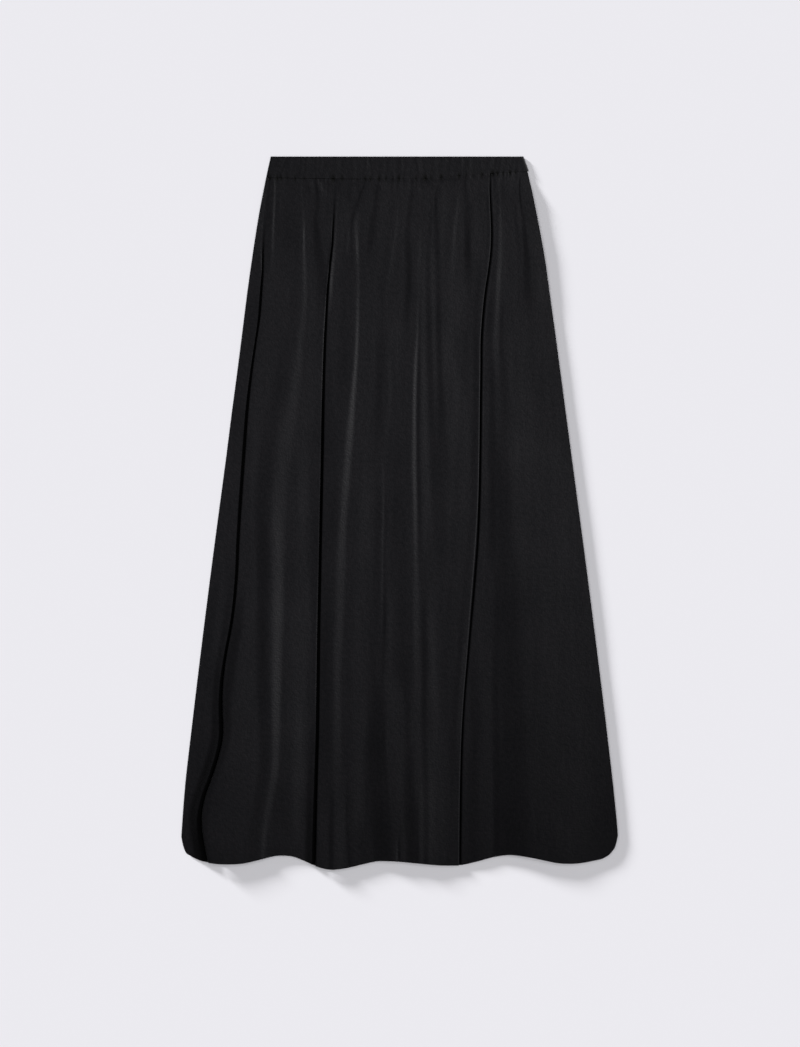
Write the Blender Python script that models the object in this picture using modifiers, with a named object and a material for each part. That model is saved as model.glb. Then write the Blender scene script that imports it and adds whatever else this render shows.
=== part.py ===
"""A-line maxi skirt with an elastic waist, laid flat and face up.

The skirt lies on the plane z = 0 with its waist towards +Y and its hem towards -Y, so +Z
comes out of the front. It has the three pieces that are cut and sewn: a front panel with its
overlapped folds, creases and waist gathers, a back panel that lies flat underneath, and a
waistband that is a strip folded over its elastic and closed to a ring.

All sizes below are in millimetres. "Down" is the distance from the top of the waistband
towards the hem, and "fall" is the share of the way from the waist seam (0) to the hem (1).
"""
import math
from collections import namedtuple

import bmesh
import bpy
import numpy as np

MM = 0.001

# ---- driving dimensions ---------------------------------------------------------------------

LENGTH = 950.0          # top of the waistband to the lowest point of the hem
WALL = 1.0              # cloth of the panels
BAND_WALL = 2.0         # waistband: two layers of cloth with the elastic between them
SEAM_GAP = 0.3          # clearance at every seam and between layers that lie on each other
GATHERS = 30            # small gathers across the front, under the waist seam
GATHER_RISE = 0.6       # how far a gather stands out of the panel, either way
GATHER_REACH = 15.0     # a gather fades to about a third in this distance
BAND_PUCKER = 0.45      # how far the waistband puckers outwards between gathers
BAND_PLAIN_END = 6.0    # length beside each turned end of the waistband that puckers less

# The gathers wander: each drift moves their beat, or their depth, to and fro along the waist.
Drift = namedtuple("Drift", "amount length phase")
BEAT_DRIFTS = (Drift(0.35, 31.0, 0.0), Drift(0.2, 13.0, 1.0))
DEPTH_DRIFT = Drift(0.3, 17.0, 0.6)

REST = WALL + SEAM_GAP + WALL / 2            # mid cloth of the front where it lies on the back
BAND_MID = BAND_WALL + SEAM_GAP + BAND_WALL / 2   # mid wall of the front half of the waistband
BACK_HEM_SHORTER = 1.5  # the back hem stays just behind the front hem

# ---- the outline ----------------------------------------------------------------------------

Side = namedtuple("Side", "down left right")
SIDES = (
    Side(0.0, -172.6, 166.2),
    Side(21.0, -177.4, 171.2),
    Side(57.0, -183.8, 178.4),
    Side(164.0, -201.0, 199.2),
    Side(430.0, -235.4, 232.6),
    Side(750.0, -275.4, 274.0),
    Side(858.0, -287.4, 286.2),
    Side(915.0, -290.2, 290.2),
)

Seam = namedtuple("Seam", "across down")
WAIST_SEAM = (
    Seam(-179.0, 28.0),
    Seam(-26.0, 29.6),
    Seam(34.0, 28.6),
    Seam(108.0, 23.2),
    Seam(172.0, 19.6),
)
SEAM_MEAN = 27.0

Hem = namedtuple("Hem", "across down")
HEM = (
    Hem(-290.2, 906.0),
    Hem(-284.0, 930.0),
    Hem(-264.0, 939.5),
    Hem(-222.0, 943.5),
    Hem(-184.0, 937.0),
    Hem(-150.0, 931.5),
    Hem(-119.0, 941.5),
    Hem(-89.0, 950.0),
    Hem(-30.0, 941.0),
    Hem(74.0, 945.5),
    Hem(108.0, 939.0),
    Hem(152.0, 929.5),
    Hem(201.0, 939.0),
    Hem(222.0, 942.0),
    Hem(262.0, 935.5),
    Hem(283.0, 926.0),
    Hem(290.2, 912.0),
)
HEM_MEAN = 939.0

# ---- folds and creases of the front ---------------------------------------------------------

# An overlapped fold. "on_top" is +1 where the cloth to its right lies on top and -1 where the
# cloth to its left does. It starts to turn and has turned right over at these distances down;
# "overlap" is how far its layers overlap at the hem and "lip" is how high its lower cloth lies
# where it turns down into the mouth. The path is the middle of the open mouth, and its width.
Fold = namedtuple("Fold", "name on_top starts formed overlap lip path")
Mouth = namedtuple("Mouth", "down across width")
FOLDS = (
    Fold("left", 1, 66.0, 100.0, 14.0, 0.5, (
        Mouth(28.0, -172.0, 0.8),
        Mouth(84.0, -178.6, 1.6),
        Mouth(124.0, -181.9, 2.6),
        Mouth(177.0, -184.8, 2.6),
        Mouth(244.0, -191.9, 2.6),
        Mouth(324.0, -202.0, 2.6),
        Mouth(457.0, -211.3, 2.6),
        Mouth(564.0, -217.0, 2.6),
        Mouth(618.0, -223.0, 2.6),
        Mouth(698.0, -235.9, 2.6),
        Mouth(778.0, -236.8, 2.6),
        Mouth(818.0, -247.4, 2.6),
        Mouth(868.0, -263.0, 2.6),
        Mouth(898.0, -263.9, 2.6),
        Mouth(946.0, -254.2, 2.6),
    )),
    Fold("centre_left", 1, 50.0, 90.0, 20.0, 0.9, (
        Mouth(28.0, -86.6, 1.4),
        Mouth(84.0, -88.6, 2.6),
        Mouth(151.0, -93.9, 2.8),
        Mouth(211.0, -97.7, 2.8),
        Mouth(284.0, -100.5, 2.8),
        Mouth(511.0, -105.1, 2.8),
        Mouth(724.0, -108.3, 2.8),
        Mouth(948.0, -113.1, 2.8),
    )),
    Fold("centre_right", -1, 50.0, 92.0, 17.0, 2.0, (
        Mouth(20.0, 120.4, 1.8),
        Mouth(84.0, 122.5, 2.4),
        Mouth(124.0, 122.0, 2.6),
        Mouth(177.0, 115.4, 2.6),
        Mouth(244.0, 110.0, 2.6),
        Mouth(404.0, 107.4, 2.6),
        Mouth(511.0, 103.4, 3.0),
        Mouth(618.0, 95.2, 3.0),
        Mouth(724.0, 86.4, 2.6),
        Mouth(778.0, 83.0, 2.6),
        Mouth(946.0, 80.2, 2.6),
    )),
)

# A crease leans: its crest rises from a steep flank and runs out slowly on the other side.
# "columns" is how many columns of the mesh follow its left and its right flank; a crease with
# no field runs along a fold and needs none of its own.
Crease = namedtuple("Crease", "name field columns path")
Spot = namedtuple("Spot", "down crest rise left right")
CREASES = (
    Crease("left_long", 1, (2, 2), (
        Spot(40.0, -133.0, 0.2, 19.0, 5.0),
        Spot(124.0, -130.0, 0.7, 19.0, 6.0),
        Spot(211.0, -132.0, 0.8, 19.0, 9.0),
        Spot(284.0, -143.5, 1.2, 24.0, 15.0),
        Spot(364.0, -160.0, 1.5, 24.0, 22.0),
        Spot(457.0, -171.5, 2.4, 24.0, 24.0),
        Spot(564.0, -171.5, 3.1, 21.0, 19.0),
        Spot(671.0, -173.5, 3.2, 20.0, 17.0),
        Spot(778.0, -173.0, 2.3, 19.0, 13.0),
        Spot(858.0, -179.0, 1.9, 19.0, 11.0),
        Spot(946.0, -187.0, 0.9, 17.0, 7.0),
    )),
    Crease("left_waist", 1, (1, 0), (
        Spot(33.0, -108.5, 0.5, 6.0, 20.0),
        Spot(84.0, -108.0, 0.9, 7.5, 48.0),
        Spot(104.0, -104.5, 1.5, 11.0, 48.0),
        Spot(151.0, -97.0, 1.3, 15.0, 20.0),
        Spot(197.0, -97.0, 0.0, 15.0, 20.0),
    )),
    Crease("left_lift", None, (0, 0), (
        Spot(537.0, -217.5, 0.0, 9.5, 67.0),
        Spot(618.0, -227.0, 1.2, 13.0, 77.0),
        Spot(724.0, -239.0, 2.2, 17.0, 80.0),
        Spot(818.0, -248.5, 3.4, 19.0, 83.0),
        Spot(891.0, -266.5, 3.9, 18.0, 85.0),
        Spot(946.0, -255.5, 2.7, 13.0, 77.0),
    )),
    Crease("centre_lift", None, (0, 0), (
        Spot(778.0, -111.5, 0.0, 13.0, 40.0),
        Spot(818.0, -113.0, 1.0, 13.0, 45.0),
        Spot(858.0, -113.0, 2.2, 15.0, 51.0),
        Spot(946.0, -115.0, 2.7, 15.0, 53.0),
    )),
    Crease("centre_high", 2, (1, 2), (
        Spot(80.0, -60.5, 0.1, 27.0, 5.0),
        Spot(124.0, -59.0, 0.9, 27.0, 5.0),
        Spot(211.0, -59.0, 1.1, 27.0, 5.0),
        Spot(284.0, -63.5, 1.9, 32.0, 7.0),
        Spot(364.0, -72.0, 2.9, 32.0, 12.0),
        Spot(457.0, -79.5, 2.3, 29.0, 13.0),
        Spot(564.0, -87.0, 1.9, 21.0, 17.0),
        Spot(671.0, -90.0, 1.4, 16.0, 15.0),
        Spot(778.0, -90.0, 1.5, 16.0, 15.0),
        Spot(858.0, -89.0, 1.3, 16.0, 17.0),
        Spot(946.0, -80.5, 0.9, 16.0, 15.0),
    )),
    Crease("centre_waist", 2, (1, 0), (
        Spot(36.0, -25.0, 0.5, 7.5, 48.0),
        Spot(84.0, -30.5, 1.0, 9.5, 48.0),
        Spot(104.0, -31.5, 1.3, 11.0, 48.0),
        Spot(144.0, -35.0, 0.0, 11.0, 48.0),
    )),
    Crease("hem_wedge", 2, (1, 0), (
        Spot(692.0, -24.5, 0.0, 12.0, 53.0),
        Spot(751.0, -15.5, 2.5, 26.0, 56.0),
        Spot(858.0, -11.0, 4.3, 36.0, 58.0),
        Spot(946.0, -5.5, 3.9, 30.0, 58.0),
    )),
    Crease("middle_waist", 2, (1, 0), (
        Spot(44.0, 20.5, 0.5, 7.5, 48.0),
        Spot(104.0, 15.0, 0.8, 9.5, 48.0),
        Spot(151.0, 17.5, 1.5, 9.5, 48.0),
        Spot(211.0, 15.5, 0.6, 11.0, 42.0),
        Spot(244.0, 15.5, 0.0, 11.0, 19.0),
    )),
    Crease("middle_high", 2, (1, 2), (
        Spot(94.0, 26.0, 0.0, 16.0, 4.0),
        Spot(211.0, 23.0, 0.5, 16.0, 4.0),
        Spot(284.0, 17.5, 1.5, 21.0, 6.0),
        Spot(364.0, 15.5, 1.8, 24.0, 8.0),
        Spot(457.0, 16.0, 1.7, 21.0, 9.0),
        Spot(564.0, 17.0, 1.3, 16.0, 10.0),
        Spot(671.0, 16.0, 1.4, 12.0, 15.0),
        Spot(784.0, 14.0, 0.7, 11.0, 17.0),
        Spot(946.0, 16.0, 0.2, 11.0, 15.0),
    )),
    Crease("right_upper", 2, (1, 0), (
        Spot(52.0, 50.5, 0.3, 5.0, 48.0),
        Spot(124.0, 54.5, 0.9, 8.5, 48.0),
        Spot(211.0, 56.0, 1.0, 8.5, 34.0),
        Spot(324.0, 61.0, 1.2, 11.0, 32.0),
        Spot(404.0, 67.5, 0.9, 19.0, 37.0),
        Spot(444.0, 70.5, 0.0, 22.0, 37.0),
    )),
    Crease("right_waist", 2, (1, 0), (
        Spot(38.0, 90.0, 0.6, 6.0, 48.0),
        Spot(84.0, 96.0, 1.2, 11.0, 48.0),
        Spot(124.0, 96.5, 2.0, 11.0, 48.0),
        Spot(177.0, 101.5, 0.5, 15.0, 48.0),
        Spot(204.0, 104.5, 0.0, 15.0, 44.0),
    )),
    Crease("right_high", 3, (1, 1), (
        Spot(40.0, 131.0, 0.2, 8.0, 4.0),
        Spot(124.0, 131.5, 0.8, 8.0, 7.5),
        Spot(211.0, 126.5, 0.8, 11.0, 7.5),
        Spot(284.0, 124.0, 0.4, 11.0, 10.0),
        Spot(337.0, 126.0, 0.0, 11.0, 11.0),
    )),
    Crease("right_low", 3, (1, 0), (
        Spot(184.0, 141.0, 0.0, 6.0, 48.0),
        Spot(244.0, 139.0, 0.5, 7.5, 27.0),
        Spot(324.0, 147.5, 0.9, 13.0, 35.0),
        Spot(404.0, 152.0, 0.0, 22.0, 35.0),
    )),
    Crease("right_end", 3, (1, 0), (
        Spot(68.0, 168.5, 0.2, 6.0, 48.0),
        Spot(124.0, 173.5, 1.2, 9.5, 48.0),
        Spot(177.0, 178.5, 1.5, 17.0, 48.0),
        Spot(217.0, 182.0, 0.0, 19.0, 40.0),
    )),
    Crease("right_broad", 3, (1, 0), (
        Spot(364.0, 149.0, 0.0, 30.0, 80.0),
        Spot(404.0, 149.0, 1.6, 30.0, 80.0),
        Spot(457.0, 153.5, 2.0, 34.0, 93.0),
        Spot(564.0, 164.0, 2.5, 41.0, 107.0),
        Spot(671.0, 168.5, 2.8, 45.0, 107.0),
        Spot(778.0, 173.5, 3.6, 49.0, 113.0),
        Spot(946.0, 176.5, 5.1, 53.0, 107.0),
    )),
    Crease("right_of_fold", 3, (1, 0), (
        Spot(644.0, 108.5, 0.0, 15.0, 32.0),
        Spot(778.0, 108.5, 1.2, 17.0, 32.0),
        Spot(946.0, 106.0, 0.8, 19.0, 32.0),
    )),
)

# The edges of the front, between which its fields of cloth ease from one height to the next.
SIDE_LEVELS = {"left": 0.5, "right": 2.2}   # height of each side edge over its rest
TOP_DROP = 0.2           # how far the upper cloth of a fold sinks beyond its layers
LIP_ROUND = 3.0          # width over which the lower cloth turns down into a fold
EDGE_REACH = 14.0        # how far the upper cloth takes to ease down from a fold
SEAM_REACH = 60.0        # from the seam to where the waistband no longer holds the cloth up
LOFT_REACH = 50.0        # from the seam to where the cloth has its full height
CREASE_REACH = 12.0      # from the seam to where the creases have their full rise
LIFT = 1.2               # cloth that lies lower than this over its rest takes less of a crease
ROLL = 1.0               # radius of the rolled edge of an overlapped fold, at mid cloth
ROLL_AT_SEAM = 0.7       # and the share of it near the seam
ROLL_REACH = 150.0       # from the seam to where the roll has its full radius
ROLL_STEPS = 4           # columns in each of a fold's two rolls
LEAST_LAYER = 1.0        # length of the turned layer where the fold has no overlap yet
LEAST_TURN = 0.05        # radians, so that a roll never has an endless radius
OVERLAP_REACH = 450.0    # from where a fold has formed to where its overlap is full
WIDEST_COLUMN = 11.5     # no two columns of cloth are further apart than this
LEAST_COLUMN = 0.9       # and no two guide columns are nearer than this

GATHER_ROWS = (0.0, 7.0, 16.0, 28.0)     # distance under the waist seam
LONG_ROWS = (41.0, 56.0, 74.0, 98.0, 130.0, 170.0, 220.0, 280.0, 345.0, 415.0,
             490.0, 565.0, 640.0, 705.0, 760.0, 810.0, 855.0, 890.0, 912.0)

BACK_COLUMNS = 20
BACK_ROWS = 12
BAND_ROWS = 2
BAND_BACK_COLUMNS = 14
BAND_TURN_STEPS = 4
BAND_EDGE = 0.7          # rounding of the waistband's edges


# ---- helpers --------------------------------------------------------------------------------

def ease(share):
    """A soft step from 0 to 1."""
    t = np.clip(share, 0.0, 1.0)
    return t * t * (3.0 - 2.0 * t)


def through(stations, values, at):
    """A smooth curve through the values at the stations."""
    stations = np.asarray(stations, float)
    values = np.asarray(values, float)
    slopes = np.gradient(values, stations)
    at = np.clip(at, stations[0], stations[-1])
    i = np.clip(np.searchsorted(stations, at, side="right") - 1, 0, len(stations) - 2)
    width = stations[i + 1] - stations[i]
    t = (at - stations[i]) / width
    return ((1 + 2 * t) * (1 - t) ** 2 * values[i] + t * (1 - t) ** 2 * width * slopes[i]
            + t * t * (3 - 2 * t) * values[i + 1] + t * t * (t - 1) * width * slopes[i + 1])


def column(rows, name):
    """One named column of a table."""
    return [getattr(row, name) for row in rows]


def side(name, down):
    return through(column(SIDES, "down"), column(SIDES, name), down)


def waist_seam(across):
    return through(column(WAIST_SEAM, "across"), column(WAIST_SEAM, "down"), across)


def hem(across):
    return through(column(HEM, "across"), column(HEM, "down"), across)


def down_at(across, fall):
    """How far down a point of the skirt lies: seam and hem both have their own line."""
    top = waist_seam(across) + SEAM_GAP
    return top + fall * (hem(across) - top)


def crossing(downs, acrosses, fall):
    """Where a line down the skirt crosses the section at one fall, as across and down."""
    down = SEAM_MEAN + fall * (HEM_MEAN - SEAM_MEAN)
    for _ in range(12):
        across = float(through(downs, acrosses, down))
        down = float(down_at(across, fall))
    return across, down


def side_at_fall(name, fall):
    return crossing(column(SIDES, "down"), column(SIDES, name), fall)[0]


def to_world(across, down, height):
    return across * MM, (LENGTH / 2 - down) * MM, height * MM


# ---- the section of the front at one fall ---------------------------------------------------

def seam_height(down):
    """Lowest height of the cloth over its rest: the waistband holds it up near the seam."""
    return (BAND_MID - REST) * (1.0 - float(ease((down - SEAM_MEAN) / SEAM_REACH)))


def loft(down):
    """The share of its full height that the cloth has reached."""
    return float(ease((down - SEAM_MEAN) / LOFT_REACH))


def roll(down):
    """Radius of a fold's rolled edge: tighter near the seam."""
    grown = float(ease((down - SEAM_MEAN) / ROLL_REACH))
    return ROLL * (ROLL_AT_SEAM + (1.0 - ROLL_AT_SEAM) * grown)


def fold_place(fold, fall):
    across, down = crossing(column(fold.path, "down"), column(fold.path, "across"), fall)
    width = float(through(column(fold.path, "down"), column(fold.path, "width"), down))
    return across, width, down


def fold_curve(fold, fall):
    """The S of one fold, from left to right, as across and height over the rest.

    Two rolls turn the cloth up and back, with a turned layer between them. Near the waist the
    rolls have turned only part of the way.
    """
    across, width, down = fold_place(fold, fall)
    formed = float(ease((down - fold.starts) / (fold.formed - fold.starts)))
    turn = max(math.pi * formed, LEAST_TURN)
    layer = LEAST_LAYER + fold.overlap * float(ease((down - fold.formed) / OVERLAP_REACH))
    radius = math.pi * roll(down) / turn
    angles = np.linspace(0.0, turn, ROLL_STEPS + 1)
    lower = np.column_stack((radius * np.sin(angles), radius * (1 - np.cos(angles))))
    end = lower[-1] + layer * np.array((math.cos(turn), math.sin(turn)))
    back = angles[::-1]
    upper = np.column_stack((end[0] + radius * (math.sin(turn) - np.sin(back)),
                             end[1] + radius * (np.cos(back) - math.cos(turn))))
    curve = np.vstack((lower, upper))
    curve[:, 0] += width / 2 - upper[:, 0].min()
    if fold.on_top < 0:
        curve = curve[::-1] * (-1.0, 1.0)
    curve[:, 0] += across
    curve[:, 1] += seam_height(down)
    return curve


# One edge of a field of cloth: a side edge, or the place where a fold takes over. The cloth
# keeps the edge's height for its hold and then eases to the level; at a fold's lower cloth it
# turns down at the lip.
Edge = namedtuple("Edge", "place height level hold lip")


def field_edges(index, fall):
    """The left and the right edge of one field of cloth."""
    edges = []
    for side_name, fold_index, way in (("left", index - 1, 1), ("right", index, -1)):
        if fold_index < 0 or fold_index >= len(FOLDS):
            place = side_at_fall(side_name, fall)
            down = float(down_at(place, fall))
            level = SIDE_LEVELS[side_name] * loft(down) + seam_height(down)
            edges.append(Edge(place, level, level, 0.5, None))
            continue
        fold = FOLDS[fold_index]
        across, width, down = fold_place(fold, fall)
        curve = fold_curve(fold, fall)
        place, height = curve[-1] if way > 0 else curve[0]
        if fold.on_top == way:
            hold = (curve[:, 0].max() - curve[:, 0].min()) * loft(down)
            level = (4 * roll(down) - TOP_DROP) * loft(down) + seam_height(down)
            edges.append(Edge(place, height, level, hold, None))
        else:
            lip = across - fold.on_top * width / 2
            level = fold.lip * loft(down) + seam_height(down)
            edges.append(Edge(place, height, level, abs(lip - place), lip))
    return edges


def field_height(x, edges):
    """Height of a field's cloth over its rest."""
    left, right = edges
    across = (x - left.place) / (right.place - left.place)
    height = left.level + (right.level - left.level) * ease(across)
    for edge in edges:
        away = np.abs(x - edge.place) - edge.hold
        if edge.lip is None:
            height = height + (edge.height - edge.level) * (1.0 - ease(away / EDGE_REACH))
        else:
            drop = 1.0 - ease((away + LIP_ROUND / 2) / LIP_ROUND)
            height = height + (edge.height - edge.level) * drop
    return np.maximum(height, 0.0)


def spot_at(crease, down):
    """Crest, rise and the widths of both flanks of a crease, at given distances down."""
    downs = column(crease.path, "down")
    crest = through(downs, column(crease.path, "crest"), down)
    rise = np.interp(down, downs, column(crease.path, "rise"), left=0.0)
    left = np.interp(down, downs, column(crease.path, "left"))
    right = np.interp(down, downs, column(crease.path, "right"))
    return crest, rise, left, right


def crease_height(x, down):
    """How far the creases lift the cloth at given places."""
    height = np.zeros_like(x)
    for crease in CREASES:
        crest, rise, left, right = spot_at(crease, down)
        offset = x - crest
        height += rise * (1.0 - ease(np.where(offset < 0, -offset / left, offset / right)))
    return height


def field_guides(index, edges, fall):
    """Columns that follow the creases and lips of one field, kept apart and in order."""
    places = []
    down = SEAM_MEAN + fall * (HEM_MEAN - SEAM_MEAN)
    for crease in CREASES:
        if crease.field == index:
            crest, _, left, right = (float(value) for value in spot_at(crease, down))
            places.append(crest)
            places += [crest - left * (i + 1) / crease.columns[0] for i in range(crease.columns[0])]
            places += [crest + right * (i + 1) / crease.columns[1] for i in range(crease.columns[1])]
    for edge in edges:
        if edge.lip is not None:
            places += [edge.lip + LIP_ROUND * share for share in (-0.5, 0.0, 0.5)]
    low = edges[0].place
    high = edges[1].place
    places = np.clip(np.sort(places), low + LEAST_COLUMN, high - LEAST_COLUMN)
    for i in range(1, len(places)):
        places[i] = max(places[i], places[i - 1] + LEAST_COLUMN)
    for i in range(len(places) - 1, -1, -1):
        places[i] = min(places[i], high - LEAST_COLUMN * (len(places) - i))
    return np.concatenate(([low], places, [high]))


def column_counts(index):
    """How many columns each gap between two guides needs, the same all the way down."""
    gaps = []
    for fall in np.linspace(0.0, 1.0, 12):
        gaps.append(np.diff(field_guides(index, field_edges(index, fall), fall)))
    return np.maximum(np.ceil(np.max(gaps, axis=0) / WIDEST_COLUMN).astype(int), 1)


COUNTS = [column_counts(index) for index in range(len(FOLDS) + 1)]


def front_section(fall):
    """The whole front at one fall, from the left side to the right, as across and height."""
    points = []
    last = len(FOLDS)
    for index, counts in enumerate(COUNTS):
        edges = field_edges(index, fall)
        guides = field_guides(index, edges, fall)
        x = [np.linspace(a, b, n, endpoint=False) for a, b, n in zip(guides, guides[1:], counts)]
        x = np.append(np.concatenate(x), guides[-1])
        inner = slice(1 if index > 0 else 0, -1 if index < last else None)
        points.append(np.column_stack((x, field_height(x, edges)))[inner])
        if index < last:
            points.append(fold_curve(FOLDS[index], fall))
    section = np.vstack(points)
    down = down_at(section[:, 0], fall)
    below_seam = ease((down - waist_seam(section[:, 0])) / CREASE_REACH)
    lifted = ease(section[:, 1] / LIFT) * below_seam
    section[:, 1] += lifted * crease_height(section[:, 0], down)
    return section


def gather_phase(x):
    """Phase of the uneven gathers along the waist, the same on the waistband and the panel."""
    span = side("right", SEAM_MEAN) - side("left", SEAM_MEAN)
    beat = GATHERS * x / span
    for drift in BEAT_DRIFTS:
        beat = beat + drift.amount * np.sin(x / drift.length + drift.phase)
    return 2 * math.pi * beat


def gather_wave(x, below_seam):
    """Height of the gathers on the panel, which fade away under the seam."""
    drift = DEPTH_DRIFT
    wander = drift.amount * np.sin(x / drift.length + drift.phase)
    depth = GATHER_RISE * (1.0 - drift.amount + wander)
    return depth * np.sin(gather_phase(x)) * math.exp(-below_seam / GATHER_REACH)


def front_rows():
    """Rows of points down the front: first the rows with the gathers, then the long rows."""
    drop = HEM_MEAN - SEAM_MEAN
    rows = []
    for below in GATHER_ROWS:
        fall = below / drop
        section = front_section(fall)
        x = np.linspace(section[0, 0], section[-1, 0], 4 * GATHERS + 1)
        height = np.interp(x, section[:, 0], section[:, 1]) + gather_wave(x, below)
        rows.append((x, down_at(x, fall), REST + np.maximum(height, 0.0)))
    for below in LONG_ROWS:
        fall = below / drop
        section = front_section(fall)
        x = section[:, 0]
        rows.append((x, down_at(x, fall), REST + section[:, 1]))
    return rows


# ---- meshes ---------------------------------------------------------------------------------

def join_rows(bm, upper, lower):
    """Faces between two rows of vertices, as quads, or as triangles where counts differ."""
    if len(upper) == len(lower):
        for a, b, c, d in zip(upper, lower, lower[1:], upper[1:]):
            bm.faces.new((a, b, c, d))
        return
    i = 0
    j = 0
    while i < len(upper) - 1 or j < len(lower) - 1:
        next_up = upper[min(i + 1, len(upper) - 1)].co.x
        next_low = lower[min(j + 1, len(lower) - 1)].co.x
        if j == len(lower) - 1 or (i < len(upper) - 1 and next_up <= next_low):
            bm.faces.new((upper[i], lower[j], upper[i + 1]))
            i += 1
        else:
            bm.faces.new((upper[i], lower[j], lower[j + 1]))
            j += 1


def make_object(bm, name, collection, material):
    mesh = bpy.data.meshes.new(name)
    bm.to_mesh(mesh)
    bm.free()
    mesh.shade_smooth()
    obj = bpy.data.objects.new(name, mesh)
    obj.data.materials.append(material)
    collection.objects.link(obj)
    return obj


def add_wall(obj, thickness):
    """Give an open surface its wall, half of it on each side."""
    wall = obj.modifiers.new("Wall", "SOLIDIFY")
    wall.thickness = thickness * MM
    wall.offset = 0.0
    wall.use_even_offset = True
    wall.use_quality_normals = True
    return wall


def cloth_material(name, colour, roughness):
    material = bpy.data.materials.new(name)
    material.use_nodes = True
    shader = material.node_tree.nodes["Principled BSDF"]
    shader.inputs["Base Color"].default_value = (*colour, 1.0)
    shader.inputs["Roughness"].default_value = roughness
    shader.inputs["Metallic"].default_value = 0.0
    return material


def make_front_panel(collection, material):
    bm = bmesh.new()
    rows = []
    for x, down, height in front_rows():
        rows.append([bm.verts.new(to_world(*point)) for point in zip(x, down, height)])
    for upper, lower in zip(rows, rows[1:]):
        join_rows(bm, upper, lower)
    front = make_object(bm, "front_panel", collection, material)
    add_wall(front, WALL)
    return front


def make_back_panel(collection, material):
    """The back lies flat: a grid with the same outline, its underside on the surface."""
    bm = bmesh.new()
    bmesh.ops.create_grid(bm, x_segments=BACK_COLUMNS, y_segments=BACK_ROWS, size=0.5)
    for vert in bm.verts:
        share = 0.5 + 0.5 * math.sin(math.pi * vert.co.x)
        fall = 0.5 - vert.co.y
        left = side_at_fall("left", fall)
        right = side_at_fall("right", fall)
        across = left + share * (right - left)
        down = down_at(across, fall) - BACK_HEM_SHORTER * fall
        vert.co = to_world(float(across), float(down), WALL / 2)
    back = make_object(bm, "back_panel", collection, material)
    add_wall(back, WALL)
    return back


def band_loop(down):
    """Mid wall of the waistband at one height: along the front, round, and along the back."""
    left = float(side("left", down)) + BAND_WALL
    right = float(side("right", down)) - BAND_WALL
    radius = (BAND_WALL + SEAM_GAP) / 2
    x = np.linspace(left, right, 4 * GATHERS + 1)
    pucker = BAND_PUCKER * (0.5 + 0.5 * np.sin(gather_phase(x)))
    inset = ease(np.minimum(x - left, right - x) / BAND_PLAIN_END)
    front = np.column_stack((x, BAND_MID + pucker * inset))
    angles = np.linspace(0.0, math.pi, BAND_TURN_STEPS + 1)[1:-1]
    right_turn = np.column_stack((right + radius * np.sin(angles), radius * np.cos(angles)))
    left_turn = right_turn * (-1.0, -1.0) + (right + left, 0.0)
    centre = (0.0, BAND_WALL / 2 + radius)
    x_back = np.linspace(right, left, BAND_BACK_COLUMNS + 1)
    back = np.column_stack((x_back, np.full_like(x_back, BAND_WALL / 2)))
    return np.vstack((front, right_turn + centre, back, left_turn + centre))


def make_waistband(collection, material):
    bm = bmesh.new()
    loops = []
    for row in range(BAND_ROWS + 1):
        share = row / BAND_ROWS
        loop = band_loop(share * SEAM_MEAN)
        down = share * waist_seam(loop[:, 0])
        loops.append([bm.verts.new(to_world(x, d, z)) for (x, z), d in zip(loop, down)])
    for upper, lower in zip(loops, loops[1:]):
        join_rows(bm, [*upper, upper[0]], [*lower, lower[0]])
    band = make_object(bm, "waistband", collection, material)
    add_wall(band, BAND_WALL)
    edge = band.modifiers.new("Soft edges", "BEVEL")
    edge.width = BAND_EDGE * MM
    edge.segments = 1
    edge.limit_method = "ANGLE"
    edge.angle_limit = math.radians(60)
    return band


def main():
    for obj in list(bpy.data.objects):
        bpy.data.objects.remove(obj, do_unlink=True)
    collection = bpy.data.collections.new("maxi_skirt")
    bpy.context.scene.collection.children.link(collection)
    make_front_panel(collection, cloth_material("black crepe, front", (0.012, 0.012, 0.013), 0.72))
    make_back_panel(collection, cloth_material("black crepe, back", (0.011, 0.011, 0.012), 0.74))
    make_waistband(collection, cloth_material("black crepe, waistband", (0.010, 0.010, 0.011), 0.76))


main()
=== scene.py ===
# %% [markdown]
# # A black maxi skirt, laid flat
#
# The skirt is three pieces of crepe: a front panel, a back panel that lies flat under it, and a
# waistband gathered by the elastic inside. Cloth can be dropped in a simulation, but a skirt laid
# out by hand has folds that somebody put there: each starts at the waist, wanders and ends at the
# hem. So every fold here is placed one by one. The front is worked out as a stack of sections, one
# for each distance under the waist, and each section is a line that rises over its ridges and
# turns back on itself where the cloth overlaps.

# %% Load the fixed frame
import math
from collections import namedtuple

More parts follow.
